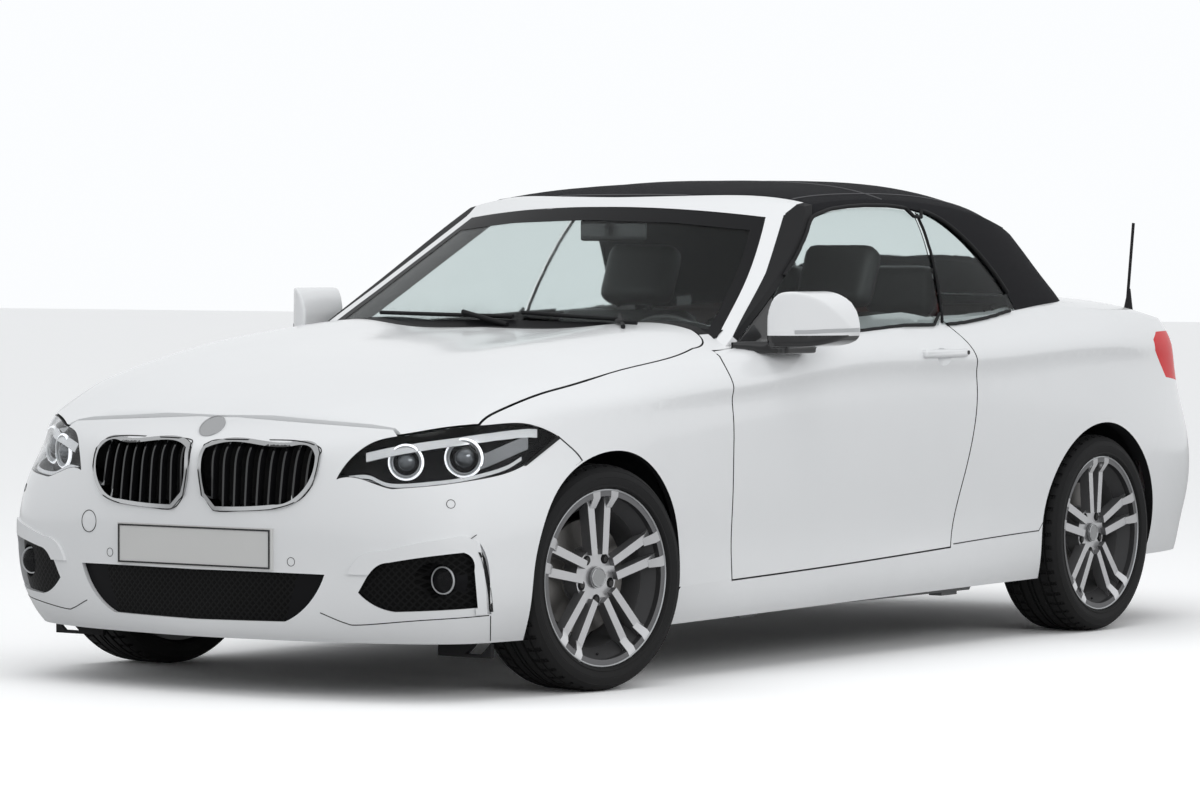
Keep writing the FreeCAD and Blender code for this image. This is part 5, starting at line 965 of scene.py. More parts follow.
class OBJECT_OT_car_nose(bpy.types.Operator):
    """Radiator frames and slats, blank plate, fog lamps, sensors and the tow-eye cover"""
    bl_idname = "object.car_nose"
    bl_label = "Nose"

    def execute(self, context):
        grille = merged("radiator_grille")

        def frame_or_slat(face):
            middle = face.calc_center_median()
            near_edge = edge_distance(abs(middle.y), middle.z, GRILLE_OUTLINE) < FRAME_BAND
            return 0 if near_edge else 1

        sorted_faces(grille, frame_or_slat)
        shown_as("radiator_grille", grille, "chrome", "gloss black")

        bumper = tree_of("front_bumper")
        ahead = Vector((-1, 0, 0))
        mesh = merged("lower_grille")
        cut_along(mesh, POST_LINE)
        sorted_faces(mesh, lambda face: 1 if outside_posts(face.calc_center_median()) else 0)
        shown_as("lower_grille", mesh, "mesh black", "lamp black")
        # Black blocks behind the kidney grille and the lower intake, painted shade in place of the dark space
        # behind them.
        dark = bmesh.new()
        for low, high in SHADE_BACKINGS:
            block(dark, low, high)
        shade(dark)
        piece("dark backing", dark, "root", slot_of("lower_grille"), "seam black")

        bm = merged("front_plate")
        shade(bm)
        plate_low, plate_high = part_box("front_plate")
        plate = piece("front plate", bm, "root", slot_of("front_plate"), "plate grey")
        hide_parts("front_plate")
        rim = bmesh.new()
        border_bars(rim, plate_high[0], plate_high[0] + PLATE_BORDER_RISE, plate_low[1:], plate_high[1:],
                    PLATE_EDGE, PLATE_BAR)
        shade(rim)
        piece("plate border", rim, "root", slot_of("front_plate"), "gloss black")

        marks = bmesh.new()
        ring_mark(marks, bumper, front_point(TOW_COVER_PLACE, RIGHT), ahead, TOW_COVER_RADIUS, TOW_COVER_BAR)
        for side, place in FRONT_SENSORS:
            ring_mark(marks, bumper, front_point(place, side), ahead, SENSOR_RADIUS, SENSOR_BAR)
        for side in BOTH_SIDES:
            inwards = lamp_ahead(side)
            ring_mark(marks, bumper, lamp_point(CORNER_SENSOR, side), inwards, SENSOR_RADIUS, SENSOR_BAR)
            # A thin black strip along the bumper's lower crease, painted shade in the crease.
            strip(marks, bumper, lamp_point, eased(BUMPER_CREASE_SHADE), side, inwards, (0, 0),
                  (0, BUMPER_CREASE_SHADE_WIDTH), LINE_LIFT, LINE_WALL)
            joint = [lamp_point((JOINT_TOP[0], JOINT_TOP[1] - JOINT_STEP * i), side)
                     for i in range(JOINT_STEPS)]
            laid(marks, bumper, joint, [p + Vector((-0.004, 0, 0)) for p in joint], inwards, LINE_LIFT,
                 LINE_WALL, rows=1)
            # Black strips laid in the fog bezels' slots, painted shade in the slots.
            strip(marks, bumper, lamp_point, eased(FOG_SLOT), side, inwards, (-FOG_SLOT_HALF, 0),
                  (FOG_SLOT_HALF, 0), 0.0022, 0.004, rows=2)
        shade(marks)
        piece("bumper lines", marks, "root", slot_of("front_bumper"), "seam black")
        lining = bmesh.new()
        panel = tree_of("front_bumper", "radiator_grille")
        closed = eased(GRILLE_OUTLINE + GRILLE_OUTLINE[:1], spans=4)
        for side in BOTH_SIDES:
            loop = [touched(panel, front_point((v.x, v.y), side), ahead) for v in closed]
            tube(lining, [hit + normal * 0.0004 for hit, normal in loop], 0.0016, sides=6)
        shade(lining)
        piece("grille lining", lining, "root", slot_of("radiator_grille"), "seam black")

        badge = bmesh.new()
        hit, normal = touched(tree_of("front_bumper", "bonnet"), front_point(BADGE_PLACE, LEFT), ahead)
        disc(badge, hit + normal * 0.001, normal, BADGE_RADIUS, 0.004, index=0, top_share=0.97, segments=48)
        hoop(badge, hit + normal * 0.003, normal, BADGE_RADIUS - 0.002, 0.0018, index=1)
        shade(badge)
        piece("plain nose disc", badge, "root", slot_of("radiator_grille"), "silver trim", "chrome")

        fog = bmesh.new()
        for side in BOTH_SIDES:
            face = Vector((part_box("fog_lamps")[1][0], side * FOG_ACROSS, FOG_HEIGHT))
            hoop(fog, face, (1, 0, 0), FOG_RING_RADIUS, FOG_RING_BAR, index=0)
            lens = bmesh.ops.create_uvsphere(
                fog, u_segments=32, v_segments=16, radius=FOG_RADIUS,
                matrix=Matrix.Translation(face) @ Matrix.Diagonal((FOG_BULGE, 1, 1, 1)))["verts"]
            for facet in {facet for vert in lens for facet in vert.link_faces}:
                facet.material_index = 1
            for back, radius, wall, index, top_share in FOG_DISCS:
                disc(fog, face - Vector((back, 0, 0)), (1, 0, 0), radius, wall, index=index,
                     top_share=top_share)
        shade(fog)
        piece("fog lamp glass", fog, "root", slot_of("fog_lamps"), "silver trim", "lamp glass",
              "bright reflector", "dark reflector", "lamp black")
        dressed("fog_lamps", "lamp black")
        return {"FINISHED"}


# Wheels: distances from the centre and places along the axle, in metres, outwards from the rim's middle

FACING = 0.7
HUB_FACE_PLACE = 0.030
SPOKE_TOP_PLACE = 0.068
BARREL_FACING = -0.6
BARREL_SHARE = 0.9
SPOKE_FACE_PLACE = 0.062
SPOKE_REACH = 0.224
HUB_REACH = 0.090
WHEEL_RADIUS = 0.2435
RIM_HOOP_PLACE = 0.0985
RIM_HOOP_RADIUS = 0.2405
RIM_HOOP_BAR = 0.0028
CAP_RADIUS = 0.025
SPOKE_TIPS = ((0.780, 0.086, 0.174, 0.0806), (0.900, 0.086, 0.200, 0.0988), (0.985, 0.090, 0.212, 0.0990))
TIP_WALL = 0.003
CAP_PLACE = 0.0722
DISC_LIMIT = 0.157
DISC_PLACE = 0.016
TREAD_STEPS = 144
TREAD_BLOCK_STEPS = 3
TREAD_INSET = 0.0012
TREAD_DEPTH = 0.005
BOLT_CIRCLE = 0.060
VALVE_PLACE = 0.055
VALVE_REACH = 0.219
WHEEL_BOLTS = 5


def wheel_axis(end, side):
    """Centre and outward axis of a wheel, from its joint."""
    name = "%s_%s_spin" % (end, side)
    joint = next(joint for joint in frame["record"]["behaviour"]["joints"] if joint["name"] == name)
    axis = Vector(joint["axis"]).normalized()
    outwards = LEFT if side == "left" else RIGHT
    return Vector(joint["pos_m"]), axis if axis.y * outwards > 0 else -axis


def tyre_profile():
    """Half of a tyre's section: radius and place along the axle, with tread grooves and a ribbed side."""
    side = [(0.2325, 0.086), (0.2425, 0.0865), (0.2435, 0.0985), (0.249, 0.1085), (0.2525, 0.1095),
            (0.255, 0.1078), (0.262, 0.1095), (0.272, 0.1105), (0.2735, 0.1097), (0.275, 0.1105),
            (0.284, 0.1088), (0.290, 0.1062), (0.2915, 0.1068), (0.293, 0.1045), (0.2985, 0.0990),
            (0.3030, 0.0925), (0.3062, 0.0850), (0.3082, 0.077)]
    tread = [(0.3086, 0.074), (0.3040, 0.073), (0.3040, 0.068), (0.3094, 0.067), (0.3098, 0.044),
             (0.3030, 0.043), (0.3030, 0.034), (0.3099, 0.033), (0.3100, 0.012), (0.3030, 0.011),
             (0.3030, 0.004), (0.3100, 0.003)]
    return side + tread


class OBJECT_OT_car_wheels(bpy.types.Operator):
    """Alloy wheels with bright faces, dark flanks and a barrel painted darker still as shade, wheel bolts,
    brake discs and treaded tyres
    """
    bl_idname = "object.car_wheels"
    bl_label = "Wheels"

    def execute(self, context):
        for side in ("left", "right"):
            for end in ("front", "rear"):
                self.wheel(end, side)
                self.tyre(end, side)
        return {"FINISHED"}

    def wheel(self, end, side):
        centre, axis = wheel_axis(end, side)
        bm = merged("wheel_%s_%s" % (end, side))

        # The barrel's inward faces and the sunk faces behind the spokes take a darker copy of the flank
        # paint, which is painted shade.
        def kind(face):
            offset = face.calc_center_median() - centre
            place = offset.dot(axis)
            radius = (offset - axis * place).length
            if place < DISC_PLACE and radius < DISC_LIMIT:
                return 2
            facing = face.normal.dot(axis) > FACING
            if radius > SPOKE_REACH:
                return 1
            inward = face.normal.dot(offset - axis * place) < BARREL_FACING * radius
            if inward and radius > SPOKE_REACH * BARREL_SHARE:
                return 3
            if facing and place > (HUB_FACE_PLACE if radius < HUB_REACH else SPOKE_TOP_PLACE):
                return 0
            return 3 if facing and radius > HUB_REACH else 1

        sorted_faces(bm, kind)
        shown_as("wheel_%s_%s" % (end, side), bm, "alloy face", "alloy flank", "brake iron", "alloy barrel")
        extra = bmesh.new()
        up = Vector((0, 0, 1))
        up = (up - axis * up.dot(axis)).normalized()
        across = axis.cross(up)
        hub = centre + axis * SPOKE_FACE_PLACE
        disc(extra, centre + axis * CAP_PLACE, axis, CAP_RADIUS, 0.004, index=0, top_share=0.94)
        hoop(extra, centre + axis * (CAP_PLACE + 0.0015), axis, CAP_RADIUS, 0.0022, index=1)
        hoop(extra, centre + axis * RIM_HOOP_PLACE, axis, RIM_HOOP_RADIUS, RIM_HOOP_BAR, segments=96, index=0)

        def outwards(turns):
            angle = turns * 2 * HALF_TURN / WHEEL_BOLTS
            return across * math.sin(angle) + up * math.cos(angle)

        for pair in range(WHEEL_BOLTS):
            along = outwards(pair)
            beside = along.cross(axis)
            for sign in BOTH_SIDES:
                rows = [[centre + axis * place + (along * reach + beside * sign * shift) * WHEEL_RADIUS
                         for shift in (near, far)] for reach, near, far, place in SPOKE_TIPS]
                foot = [[point - axis * TIP_WALL for point in row] for row in rows]
                closed_sheet(extra, rows, foot, index=4)
        for bolt in range(WHEEL_BOLTS):
            place = hub + outwards(bolt + 0.5) * BOLT_CIRCLE
            # Under each bolt a black disc stands for its hole: painted shade in the recess.
            disc(extra, place + axis * 0.0005, axis, 0.0125, 0.002, index=3)
            disc(extra, place - axis * 0.002, axis, 0.0085, 0.012, segments=6, index=2)
        valve_foot = centre + axis * VALVE_PLACE - up * VALVE_REACH
        tube(extra, [valve_foot, valve_foot + axis * 0.016 + up * 0.012], 0.0035, index=3)
        shade(extra)
        piece("wheel bolts %s %s" % (end, side), extra, "wheel_%s_%s" % (end, side),
              slot_of("wheel_%s_%s" % (end, side)), "silver trim", "chrome", "dark steel", "matt black",
              "alloy face")

    def tyre(self, end, side):
        centre, axis = wheel_axis(end, side)
        up = axis.orthogonal().normalized()
        half = tyre_profile()
        section = half + [(radius, -place) for radius, place in reversed(half)]
        bm = bmesh.new()
        verts = [bm.verts.new(centre + up * radius + axis * place) for radius, place in section]
        edges = [bm.edges.new(pair) for pair in zip(verts, verts[1:] + verts[:1])]
        bmesh.ops.spin(bm, geom=verts + edges, cent=centre, axis=axis, angle=2 * HALF_TURN, steps=TREAD_STEPS,
                       use_merge=True)
        bmesh.ops.remove_doubles(bm, verts=bm.verts, dist=MERGE_DISTANCE)
        bmesh.ops.recalc_face_normals(bm, faces=bm.faces)
        blocks = []
        for face in bm.faces:
            offset = face.calc_center_median() - centre
            place = offset.dot(axis)
            flat = offset - axis * place
            crown = abs(place) > 0.044 and flat.length > 0.3085
            shoulder = 0.0745 < abs(place) < 0.094 and flat.length > 0.3
            turns = math.atan2(flat.cross(up).dot(axis), flat.dot(up)) / (2 * HALF_TURN) + 1
            if (crown or shoulder) and int(turns * TREAD_STEPS) % TREAD_BLOCK_STEPS == 0:
                blocks.append(face)
        bmesh.ops.inset_individual(bm, faces=blocks, thickness=TREAD_INSET, depth=-TREAD_DEPTH)
        shown_as("tyre_%s_%s" % (end, side), bm, "tyre rubber")


MIRROR_SPLIT = 0.957
MIRROR_INNER = 0.836
MIRROR_VOXEL = 0.004
MIRROR_ROUNDS = 8
INSIDE_MIRROR_ROUNDS = 14
MIRROR_MIDDLE = (0.52, 0.88, 0.98)
TURN_STRIP = ((0.610, 0.905, 0.968), (0.580, 0.945, 0.969), (0.540, 0.970, 0.971), (0.470, 0.992, 0.972),
              (0.415, 0.990, 0.973))
TURN_STRIP_HALF = 0.0055
TURN_STRIP_LIFT = 0.0012


class OBJECT_OT_car_mirrors(bpy.types.Operator):
    """Outside mirrors with painted caps, black feet, glasses and silver turn strips"""
    bl_idname = "object.car_mirrors"
    bl_label = "Mirrors"

    def execute(self, context):
        for side, name in NAMED_SIDES:
            node = "mirror_" + name
            bm = softened(merged(node), MIRROR_VOXEL, MIRROR_ROUNDS)

            def kind(face):
                middle = face.calc_center_median()
                if abs(middle.y) < MIRROR_INNER or middle.z < MIRROR_SPLIT:
                    return 1
                return 2 if face.normal.x < -0.75 else 0

            sorted_faces(bm, kind)
            shade(bm, math.radians(60))
            cap = piece("mirror cap " + name, bm, body_named(node), slot_of(node), "white paint",
                        "gloss black", "mirror glass")
            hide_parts(node)
            lamp, tree, rows = bmesh.new(), tree_of(node), []
            middle = Vector((MIRROR_MIDDLE[0], side * MIRROR_MIDDLE[1], MIRROR_MIDDLE[2]))
            for x, y, z in eased(TURN_STRIP):
                point = Vector((x, side * y, z))
                away = Vector((point.x - middle.x, point.y - middle.y, 0)).normalized()
                column = []
                for rise in (-TURN_STRIP_HALF, TURN_STRIP_HALF):
                    hit, normal = touched(tree, point + away * 0.2 + Vector((0, 0, rise)), -away)
                    column.append((hit + normal * TURN_STRIP_LIFT, hit - normal * 0.002))
                rows.append(column)
            for near, far in zip(rows, rows[1:]):
                corners = [lamp.verts.new(column[row][layer]) for layer in (0, 1) for column, row in (
                    (near, 0), (far, 0), (far, 1), (near, 1))]
                for a, b, c, d in ((0, 1, 2, 3), (4, 7, 6, 5), (0, 4, 5, 1), (3, 2, 6, 7)):
                    lamp.faces.new((corners[a], corners[b], corners[c], corners[d]))
            bmesh.ops.remove_doubles(lamp, verts=lamp.verts, dist=MERGE_DISTANCE)
            bmesh.ops.recalc_face_normals(lamp, faces=lamp.faces)
            shade(lamp)
            piece("turn strip " + name, lamp, body_named(node), slot_of(node), "silver trim")
        return {"FINISHED"}


# Trim: wiper blades and panel lines as drawn in shares, then the seals' bars and the spans they run along

WIPER_LINES = (((0.640, 0.694), (0.080, 0.712)), ((0.060, 0.704), (-0.560, 0.708)))
WIPER_ARM_HEIGHT = 0.690
WIPER_STEPS = 12
BLADE_BAR = 0.006
ARM_BAR = 0.007
LOCK_PLACE = (-0.405, 0.893)
LOCK_RADIUS = 0.0065
WING_SEAM = ((0.601, 0.4945), (0.657, 0.463), (0.682, 0.4425))
SILL_SEAM = ((0.313, 0.2195), (0.200, 0.229), (0.125, 0.2345))
SEAM_LIFT = 0.0007
ROOF_SEAL_SPAN = (0.600, 0.145)
ROOF_SEAL_STEPS = 60
ROOF_SEAL_TOP = 1.345
ROOF_SEAL_RISE = 0.0095
ROOF_SEAL_BAR = 0.006
AERIAL_FOOT_RADIUS = 0.0155
AERIAL_FOOT_HEIGHT = 0.070
POST_STEPS = 24
POST_BAR = 0.0048
WAIST_STEPS = 24
WAIST_FOOT = 0.880
WAIST_BAR = 0.0055


class OBJECT_OT_car_trim(bpy.types.Operator):
    """Window seals, wipers, panel lines, door locks and the aerial's foot"""
    bl_idname = "object.car_trim"
    bl_label = "Trim and Seals"

    def execute(self, context):
        ahead = Vector((-1, 0, 0))
        wipers = bmesh.new()
        cowl = tree_of("windscreen", "cowl_panel", "bonnet")
        for start, end in WIPER_LINES:
            blade = []
            for i in range(WIPER_STEPS + 1):
                share = i / WIPER_STEPS
                across, up = [a * (1 - share) + b * share for a, b in zip(start, end)]
                hit, normal = touched(cowl, Vector((LENGTH, across * HALF_WIDTH, up * HEIGHT)), ahead)
                blade.append(hit + normal * 0.010)
            tube(wipers, blade, BLADE_BAR, index=0)
            foot = Vector((LENGTH, start[0] * HALF_WIDTH, WIPER_ARM_HEIGHT * HEIGHT))
            hit, normal = touched(cowl, foot, ahead)
            tube(wipers, [hit + normal * 0.006, blade[4] + normal * 0.012], ARM_BAR, index=0)
        shade(wipers)
        piece("wipers", wipers, "root", slot_of("aerial"), "matt black")

        for side, name in NAMED_SIDES:
            lock = bmesh.new()
            start = Vector((LOCK_PLACE[0], side * OUTSIDE, LOCK_PLACE[1]))
            hit, normal = touched(tree_of("door_" + name), start, Vector((0, -side, 0)))
            disc(lock, hit + normal * 0.0005, normal, LOCK_RADIUS, 0.003, index=0, segments=24)
            shade(lock)
            piece("door lock " + name, lock, "door_" + name, slot_of("door_" + name), "gloss black")
        wings = tree_of("front_wings", "front_bumper")
        lines = bmesh.new()
        for side in BOTH_SIDES:
            strip(lines, wings, lamp_point, eased(WING_SEAM), side, lamp_ahead(side), (0, 0), (0.0035, 0.001),
                  SEAM_LIFT, LINE_WALL)
        quarter = tree_of("quarter_panels", "side_skirts")
        for side in BOTH_SIDES:
            strip(lines, quarter, side_point, eased(SILL_SEAM), side, Vector((0, -side, 0)), (0, 0),
                  (0, 0.0022), SEAM_LIFT, LINE_WALL)
        shade(lines)
        piece("panel lines", lines, "root", slot_of("front_wings"), "seam black")
        self.seals()
        self.window_posts()
        self.roof_seals()
        return {"FINISHED"}

    def roof_seals(self):
        """Black seals under the roof's edge, over the side windows, and the aerial's foot."""
        seals = bmesh.new()
        front, back = ROOF_SEAL_SPAN
        for side, name in NAMED_SIDES:
            glass = tree_of("door_glass_" + name, "quarter_windows")
            points = []
            for step in range(ROOF_SEAL_STEPS + 1):
                x = x_at(front - (front - back) * step / ROOF_SEAL_STEPS)
                hit = first_met(glass, side, [(x, ROOF_SEAL_TOP - drop * 0.0025) for drop in range(170)])
                if hit:
                    points.append(hit + Vector((0, side * 0.001, ROOF_SEAL_RISE)))
            if len(points) > 2:
                tube(seals, [points[0]] + [(a + b + c) / 3 for a, b, c in zip(points, points[1:], points[2:])]
                     + [points[-1]], ROOF_SEAL_BAR)
        corners = frame["nodes"]["aerial"].data.vertices
        mast = sorted((corner.co.copy() for corner in corners), key=lambda co: co.z)
        foot, tip = sum(mast[:8], Vector()) / 8, sum(mast[-8:], Vector()) / 8
        rise = (tip - foot).normalized()
        disc(seals, foot + rise * 0.033, rise, AERIAL_FOOT_RADIUS, AERIAL_FOOT_HEIGHT, top_share=0.28)
        shade(seals)
        piece("roof seals", seals, "root", slot_of("aerial"), "matt black")

    def window_posts(self):
        """Black strips down the front edges of the quarter windows."""
        glass = tree_of("quarter_windows")
        low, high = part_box("quarter_windows")
        posts = bmesh.new()
        for side in BOTH_SIDES:
            points = []
            for step in range(POST_STEPS + 1):
                z = low[2] + (high[2] - low[2]) * (0.02 + 0.96 * step / POST_STEPS)
                hit = first_met(glass, side, [(high[0] + 0.01 - back * 0.002, z) for back in range(200)])
                if hit:
                    points.append(hit + Vector((-0.001, -side * 0.002, 0)))
            if len(points) > 2:
                tube(posts, points, POST_BAR)
        shade(posts)
        piece("window posts", posts, "root", slot_of("windscreen_frame"), "matt black")

    def seals(self):
        """Black strips along the waist under the side windows."""
        for side, name in NAMED_SIDES:
            door = "door_" + name
            for pane, panels, body, span in (
                    ("door_glass_" + name, (door,), door, (0.312, 0.700)),
                    ("quarter_windows", ("quarter_panels", "rear_deck"), "root", (0.150, 0.300))):
                glass, panel, points = tree_of(pane), tree_of(*panels), []
                for i in range(WAIST_STEPS + 1):
                    x = x_at(span[0] + (span[1] - span[0]) * i / WAIST_STEPS)
                    places = [(x, WAIST_FOOT + step * 0.0015) for step in range(120)]
                    hit = first_met(glass, side, places, cover=panel)
                    if hit:
                        points.append(hit + Vector((0, side * 0.003, 0.001)))
                if len(points) < 3:
                    continue
                bm = bmesh.new()
                tube(bm, points, WAIST_BAR)
                shade(bm)
                piece("waist seal %s %s" % (name, body), bm, body, slot_of("windscreen_frame"), "matt black")


# Cabin, fabric roof and tail

CUSHION_VOXEL = 0.012
CUSHION_ROUNDS = 6
DIAL_MIDDLE = 0.37
DIAL_SHIFT = 0.055
DIAL_FACING = (-1, 0, 0.35)
DIAL_DISCS = ((0.60, 0.895, 0.046, 0.02), (0.587, 0.8995, 0.040, 0.004))
SCREEN_CASE = ((0.560, -0.125, 0.905), (0.572, 0.125, 0.975))
SCREEN_GLASS = ((0.5585, -0.118, 0.910), (0.560, 0.118, 0.970))
SCREEN_ROUNDING = 0.003
ROOF_BOWS = (0.520, 0.330, 0.060)
BOW_STEPS = 48
BOW_REACH = 0.60
EDGE_STEPS = 60
EDGE_SEAM_FRONT = 0.530
EDGE_SEAM_RUN = 0.62
EDGE_SEAM_REACH = 0.545
EDGE_SEAM_TAPER = 0.02
SEAM_UPWARD = 0.3
THREAD_LIFT = 0.0006
THREAD_BAR = 0.0022
REAR_PLATE_HALF = 0.262
REAR_PLATE_FOOT = 0.744
REAR_PLATE_TOP = 0.852
REAR_PLATE_PROUD = 0.006
REAR_PLATE_SUNK = 0.004
REAR_BORDER_PROUD = 0.0075
REAR_BORDER_EDGE = 0.004
REAR_BORDER_BAR = 0.005
REFLECTOR = ((0.560, 0.262), (0.700, 0.266), (0.790, 0.272))
REFLECTOR_HEIGHT = 0.026
APRON = ((0.0, 0.168), (0.300, 0.168), (0.560, 0.172))
APRON_HEIGHT = 0.075


class OBJECT_OT_car_cabin(bpy.types.Operator):
    """The interior mirror, seats and dashboard dials and screen"""
    bl_idname = "object.car_cabin"
    bl_label = "Cabin"

    def execute(self, context):
        mirror = softened(merged("interior_mirror"), MIRROR_VOXEL, INSIDE_MIRROR_ROUNDS)
        shown_as("interior_mirror", mirror, "gloss black", angle=math.radians(70))
        for node in ("front_seats", "rear_seat"):
            bm = softened(merged(node), CUSHION_VOXEL, CUSHION_ROUNDS)
            shade(bm, math.radians(70))
            seat = piece(node + " padded", bm, body_named(node), slot_of(node), "leather")
            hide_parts(node)
        details = bmesh.new()
        for y in (DIAL_MIDDLE - DIAL_SHIFT, DIAL_MIDDLE + DIAL_SHIFT):
            for index, (x, z, radius, wall) in enumerate(DIAL_DISCS):
                disc(details, Vector((x, y, z)), DIAL_FACING, radius, wall, index=index)
        block(details, *SCREEN_CASE, index=0, round_off=SCREEN_ROUNDING)
        block(details, *SCREEN_GLASS, index=1)
        shade(details)
        piece("dials and screen", details, "root", slot_of("dashboard"), "gloss black", "dial glow")
        return {"FINISHED"}


class OBJECT_OT_car_roof(bpy.types.Operator):
    """Stretched fabric roof with its seams"""
    bl_idname = "object.car_roof"
    bl_label = "Fabric Roof"

    def execute(self, context):
        roof = dressed("soft_top", "roof fabric", angle=math.radians(40))
        tree = tree_of("soft_top")
        lines = [[(x_at(share), (i / BOW_STEPS * 2 - 1) * BOW_REACH) for i in range(BOW_STEPS + 1)]
                 for share in ROOF_BOWS]
        for side in BOTH_SIDES:
            lines.append([(x_at(EDGE_SEAM_FRONT - EDGE_SEAM_RUN * i / EDGE_STEPS),
                           side * (EDGE_SEAM_REACH - EDGE_SEAM_TAPER * i / EDGE_STEPS))
                          for i in range(EDGE_STEPS + 1)])
        seams = bmesh.new()
        for line in lines:
            thread = []
            for x, y in line:
                hit, normal = tree.ray_cast(Vector((x, y, 2.0)), Vector((0, 0, -1)))[:2]
                if hit and normal.z > SEAM_UPWARD:
                    thread.append(hit + normal * THREAD_LIFT)
            tube(seams, thread, THREAD_BAR, sides=6)
        shade(seams)
        stitched = piece("roof seams", seams, "root", slot_of("soft_top"), "stitch")
        return {"FINISHED"}


class OBJECT_OT_car_tail(bpy.types.Operator):
    """Tail lamps, blank rear plate, reflectors that glow faintly with the lamps' red as painted light, and
    the black apron
    """
    bl_idname = "object.car_tail"
    bl_label = "Tail"

    def execute(self, context):
        for node in ("tail_lamps", "boot_lid_lamps"):
            dressed(node, "red lamp")
        lid = tree_of("boot_lid")
        ahead = Vector((1, 0, 0))
        plate = bmesh.new()
        low, high = (-REAR_PLATE_HALF, REAR_PLATE_FOOT), (REAR_PLATE_HALF, REAR_PLATE_TOP)
        back = touched(lid, Vector((-LENGTH, 0, (low[1] + high[1]) / 2)), ahead)[0].x
        block(plate, (back - REAR_PLATE_PROUD, *low), (back + REAR_PLATE_SUNK, *high), index=0)
        border_bars(plate, back - REAR_BORDER_PROUD, back - REAR_PLATE_PROUD, low, high,
                    REAR_BORDER_EDGE, REAR_BORDER_BAR, index=1)
        shade(plate)
        piece("rear plate", plate, "boot_lid", slot_of("boot_lid"), "plate grey", "gloss black")
        bumper = tree_of("rear_bumper")
        marks = bmesh.new()
        for side in BOTH_SIDES:
            # The reflectors take the glowing red lamp finish, so they glow faintly as painted light though
            # they are no lamps.
            strip(marks, bumper, rear_point, eased(REFLECTOR), side, ahead, (0, 0), (0, REFLECTOR_HEIGHT),
                  0.0015, 0.004, rows=3, index=0)
            strip(marks, bumper, rear_point, eased(APRON), side, ahead, (0, 0), (0, APRON_HEIGHT),
                  0.0012, 0.004, rows=3, index=1)
        shade(marks)
        piece("rear marks", marks, "root", slot_of("rear_bumper"), "red lamp", "matt black")
        return {"FINISHED"}


LIGHTS = (("overhead light", (1.5, 0.5, 6.5), (0, 0, 0.5), (8.0, 3.0), "key_power"),
          ("side light", (5.0, 9.0, 4.5), (0.3, 0, 0.6), (6.0, 3.0), "side_power"))


def area_light(name, place, target, size, power):
    data = bpy.data.lights.new(name, "AREA")
    data.shape = "RECTANGLE"
    data.size, data.size_y = size
    data.energy = power
    light = bpy.data.objects.new(name, data)
    light.location = place
    light.rotation_mode = "QUATERNION"
    light.rotation_quaternion = (Vector(target) - Vector(place)).to_track_quat("-Z", "Y")
    light.visible_glossy = False
    bpy.context.scene.collection.objects.link(light)


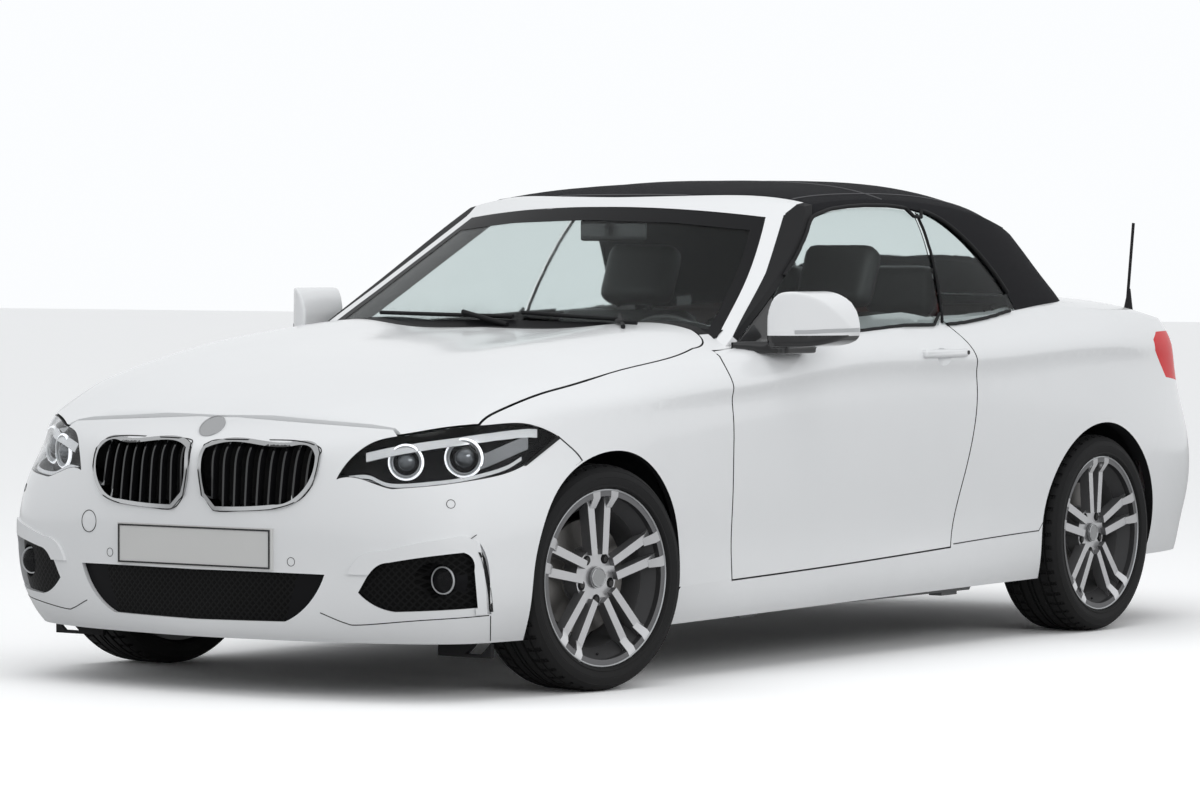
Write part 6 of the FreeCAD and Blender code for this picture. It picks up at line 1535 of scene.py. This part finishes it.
class OBJECT_OT_car_stage(bpy.types.Operator):
    """Add the floor, soft lights and the camera"""
    bl_idname = "object.car_stage"
    bl_label = "Stage"

    def execute(self, context):
        values = context.scene.car_stage
        bm = bmesh.new()
        bmesh.ops.create_grid(bm, x_segments=1, y_segments=1, size=values.floor_size / 2)
        mesh = bpy.data.meshes.new("floor")
        bm.to_mesh(mesh)
        bm.free()
        pale = finish("studio floor", (0.97, 0.97, 0.97), 0.85, grain=40.0, bump=0.02, mottle=0.004,
                      Specular_IOR_Level=0.1)
        nodes, links = pale.node_tree.nodes, pale.node_tree.links
        surface = next(node for node in nodes if node.type == "BSDF_PRINCIPLED")
        bounce, dim = nodes.new("ShaderNodeMapRange"), nodes.new("ShaderNodeVectorMath")
        bounce.inputs["To Min"].default_value = values.floor_bounce
        bounce.inputs["To Max"].default_value = values.floor_level
        links.new(nodes.new("ShaderNodeLightPath").outputs["Is Camera Ray"], bounce.inputs["Value"])
        dim.operation = "SCALE"
        links.new(surface.inputs["Base Color"].links[0].from_socket, dim.inputs[0])
        links.new(bounce.outputs["Result"], dim.inputs["Scale"])
        links.new(dim.outputs["Vector"], surface.inputs["Base Color"])
        mesh.materials.append(pale)
        floor = bpy.data.objects.new("floor", mesh)
        context.scene.collection.objects.link(floor)

        world = bpy.data.worlds.new("soft studio")
        world.use_nodes = True
        nodes, links = world.node_tree.nodes, world.node_tree.links
        sky = nodes["Background"]
        sky.inputs["Color"].default_value = (0.97, 0.985, 1.0, 1)
        split = nodes.new("ShaderNodeSeparateXYZ")
        fade = nodes.new("ShaderNodeMapRange")
        fade.inputs["From Max"].default_value = 0.6
        fade.inputs["To Min"].default_value = values.horizon_level
        fade.inputs["To Max"].default_value = values.sky_level
        links.new(nodes.new("ShaderNodeTexCoord").outputs["Generated"], split.inputs[0])
        links.new(split.outputs["Z"], fade.inputs["Value"])
        seen = nodes.new("ShaderNodeMix")
        links.new(nodes.new("ShaderNodeLightPath").outputs["Is Camera Ray"], seen.inputs["Factor"])
        links.new(fade.outputs["Result"], seen.inputs["A"])
        seen.inputs["B"].default_value = values.backdrop_level
        links.new(seen.outputs["Result"], sky.inputs["Strength"])
        context.scene.world = world
        context.scene.view_settings.view_transform = "Standard"
        for name, place, target, size, power in LIGHTS:
            area_light(name, place, target, size, getattr(values, power))

        data = bpy.data.cameras.new("photo camera")
        data.sensor_width = 36.0
        data.lens = values.lens
        data.clip_end = 200.0
        camera = bpy.data.objects.new("photo camera", data)
        yaw, pitch, roll = values.camera_yaw, values.camera_pitch, values.camera_roll
        ahead = Vector((math.cos(pitch) * math.cos(yaw), math.cos(pitch) * math.sin(yaw), math.sin(pitch)))
        across = ahead.cross(Vector((0, 0, 1))).normalized()
        up = across.cross(ahead)
        right = across * math.cos(roll) + up * math.sin(roll)
        top = up * math.cos(roll) - across * math.sin(roll)
        turn = Matrix((right, top, -ahead)).transposed()
        camera.matrix_world = Matrix.Translation(values.camera_place) @ turn.to_4x4()
        context.scene.collection.objects.link(camera)
        context.scene.camera = camera
        return {"FINISHED"}


class VIEW3D_PT_car(bpy.types.Panel):
    bl_label = "Convertible"
    bl_idname = "VIEW3D_PT_car"
    bl_space_type = "VIEW_3D"
    bl_region_type = "UI"
    bl_category = "Convertible"

    def draw(self, context):
        for owner in (context.scene.car_look, context.scene.car_stage):
            for name in owner.__annotations__:
                self.layout.prop(owner, name)
        for operator in OPERATORS:
            self.layout.operator(operator.bl_idname)


OPERATORS = (OBJECT_OT_car_panels, OBJECT_OT_car_headlamps, OBJECT_OT_car_nose, OBJECT_OT_car_wheels,
             OBJECT_OT_car_mirrors, OBJECT_OT_car_trim, OBJECT_OT_car_cabin, OBJECT_OT_car_roof,
             OBJECT_OT_car_tail, OBJECT_OT_car_stage)
SETTINGS = (CarLook, CarStage)


def register():
    for cls in SETTINGS + OPERATORS + (VIEW3D_PT_car,):
        bpy.utils.register_class(cls)
    bpy.types.Scene.car_look = bpy.props.PointerProperty(type=CarLook)
    bpy.types.Scene.car_stage = bpy.props.PointerProperty(type=CarStage)


def unregister():
    del bpy.types.Scene.car_stage
    del bpy.types.Scene.car_look
    for cls in reversed(SETTINGS + OPERATORS + (VIEW3D_PT_car,)):
        bpy.utils.unregister_class(cls)


def main():
    register()
    for operator in OPERATORS:
        getattr(bpy.ops.object, operator.bl_idname.split(".")[1])()


if __name__ == "__main__":
    main()
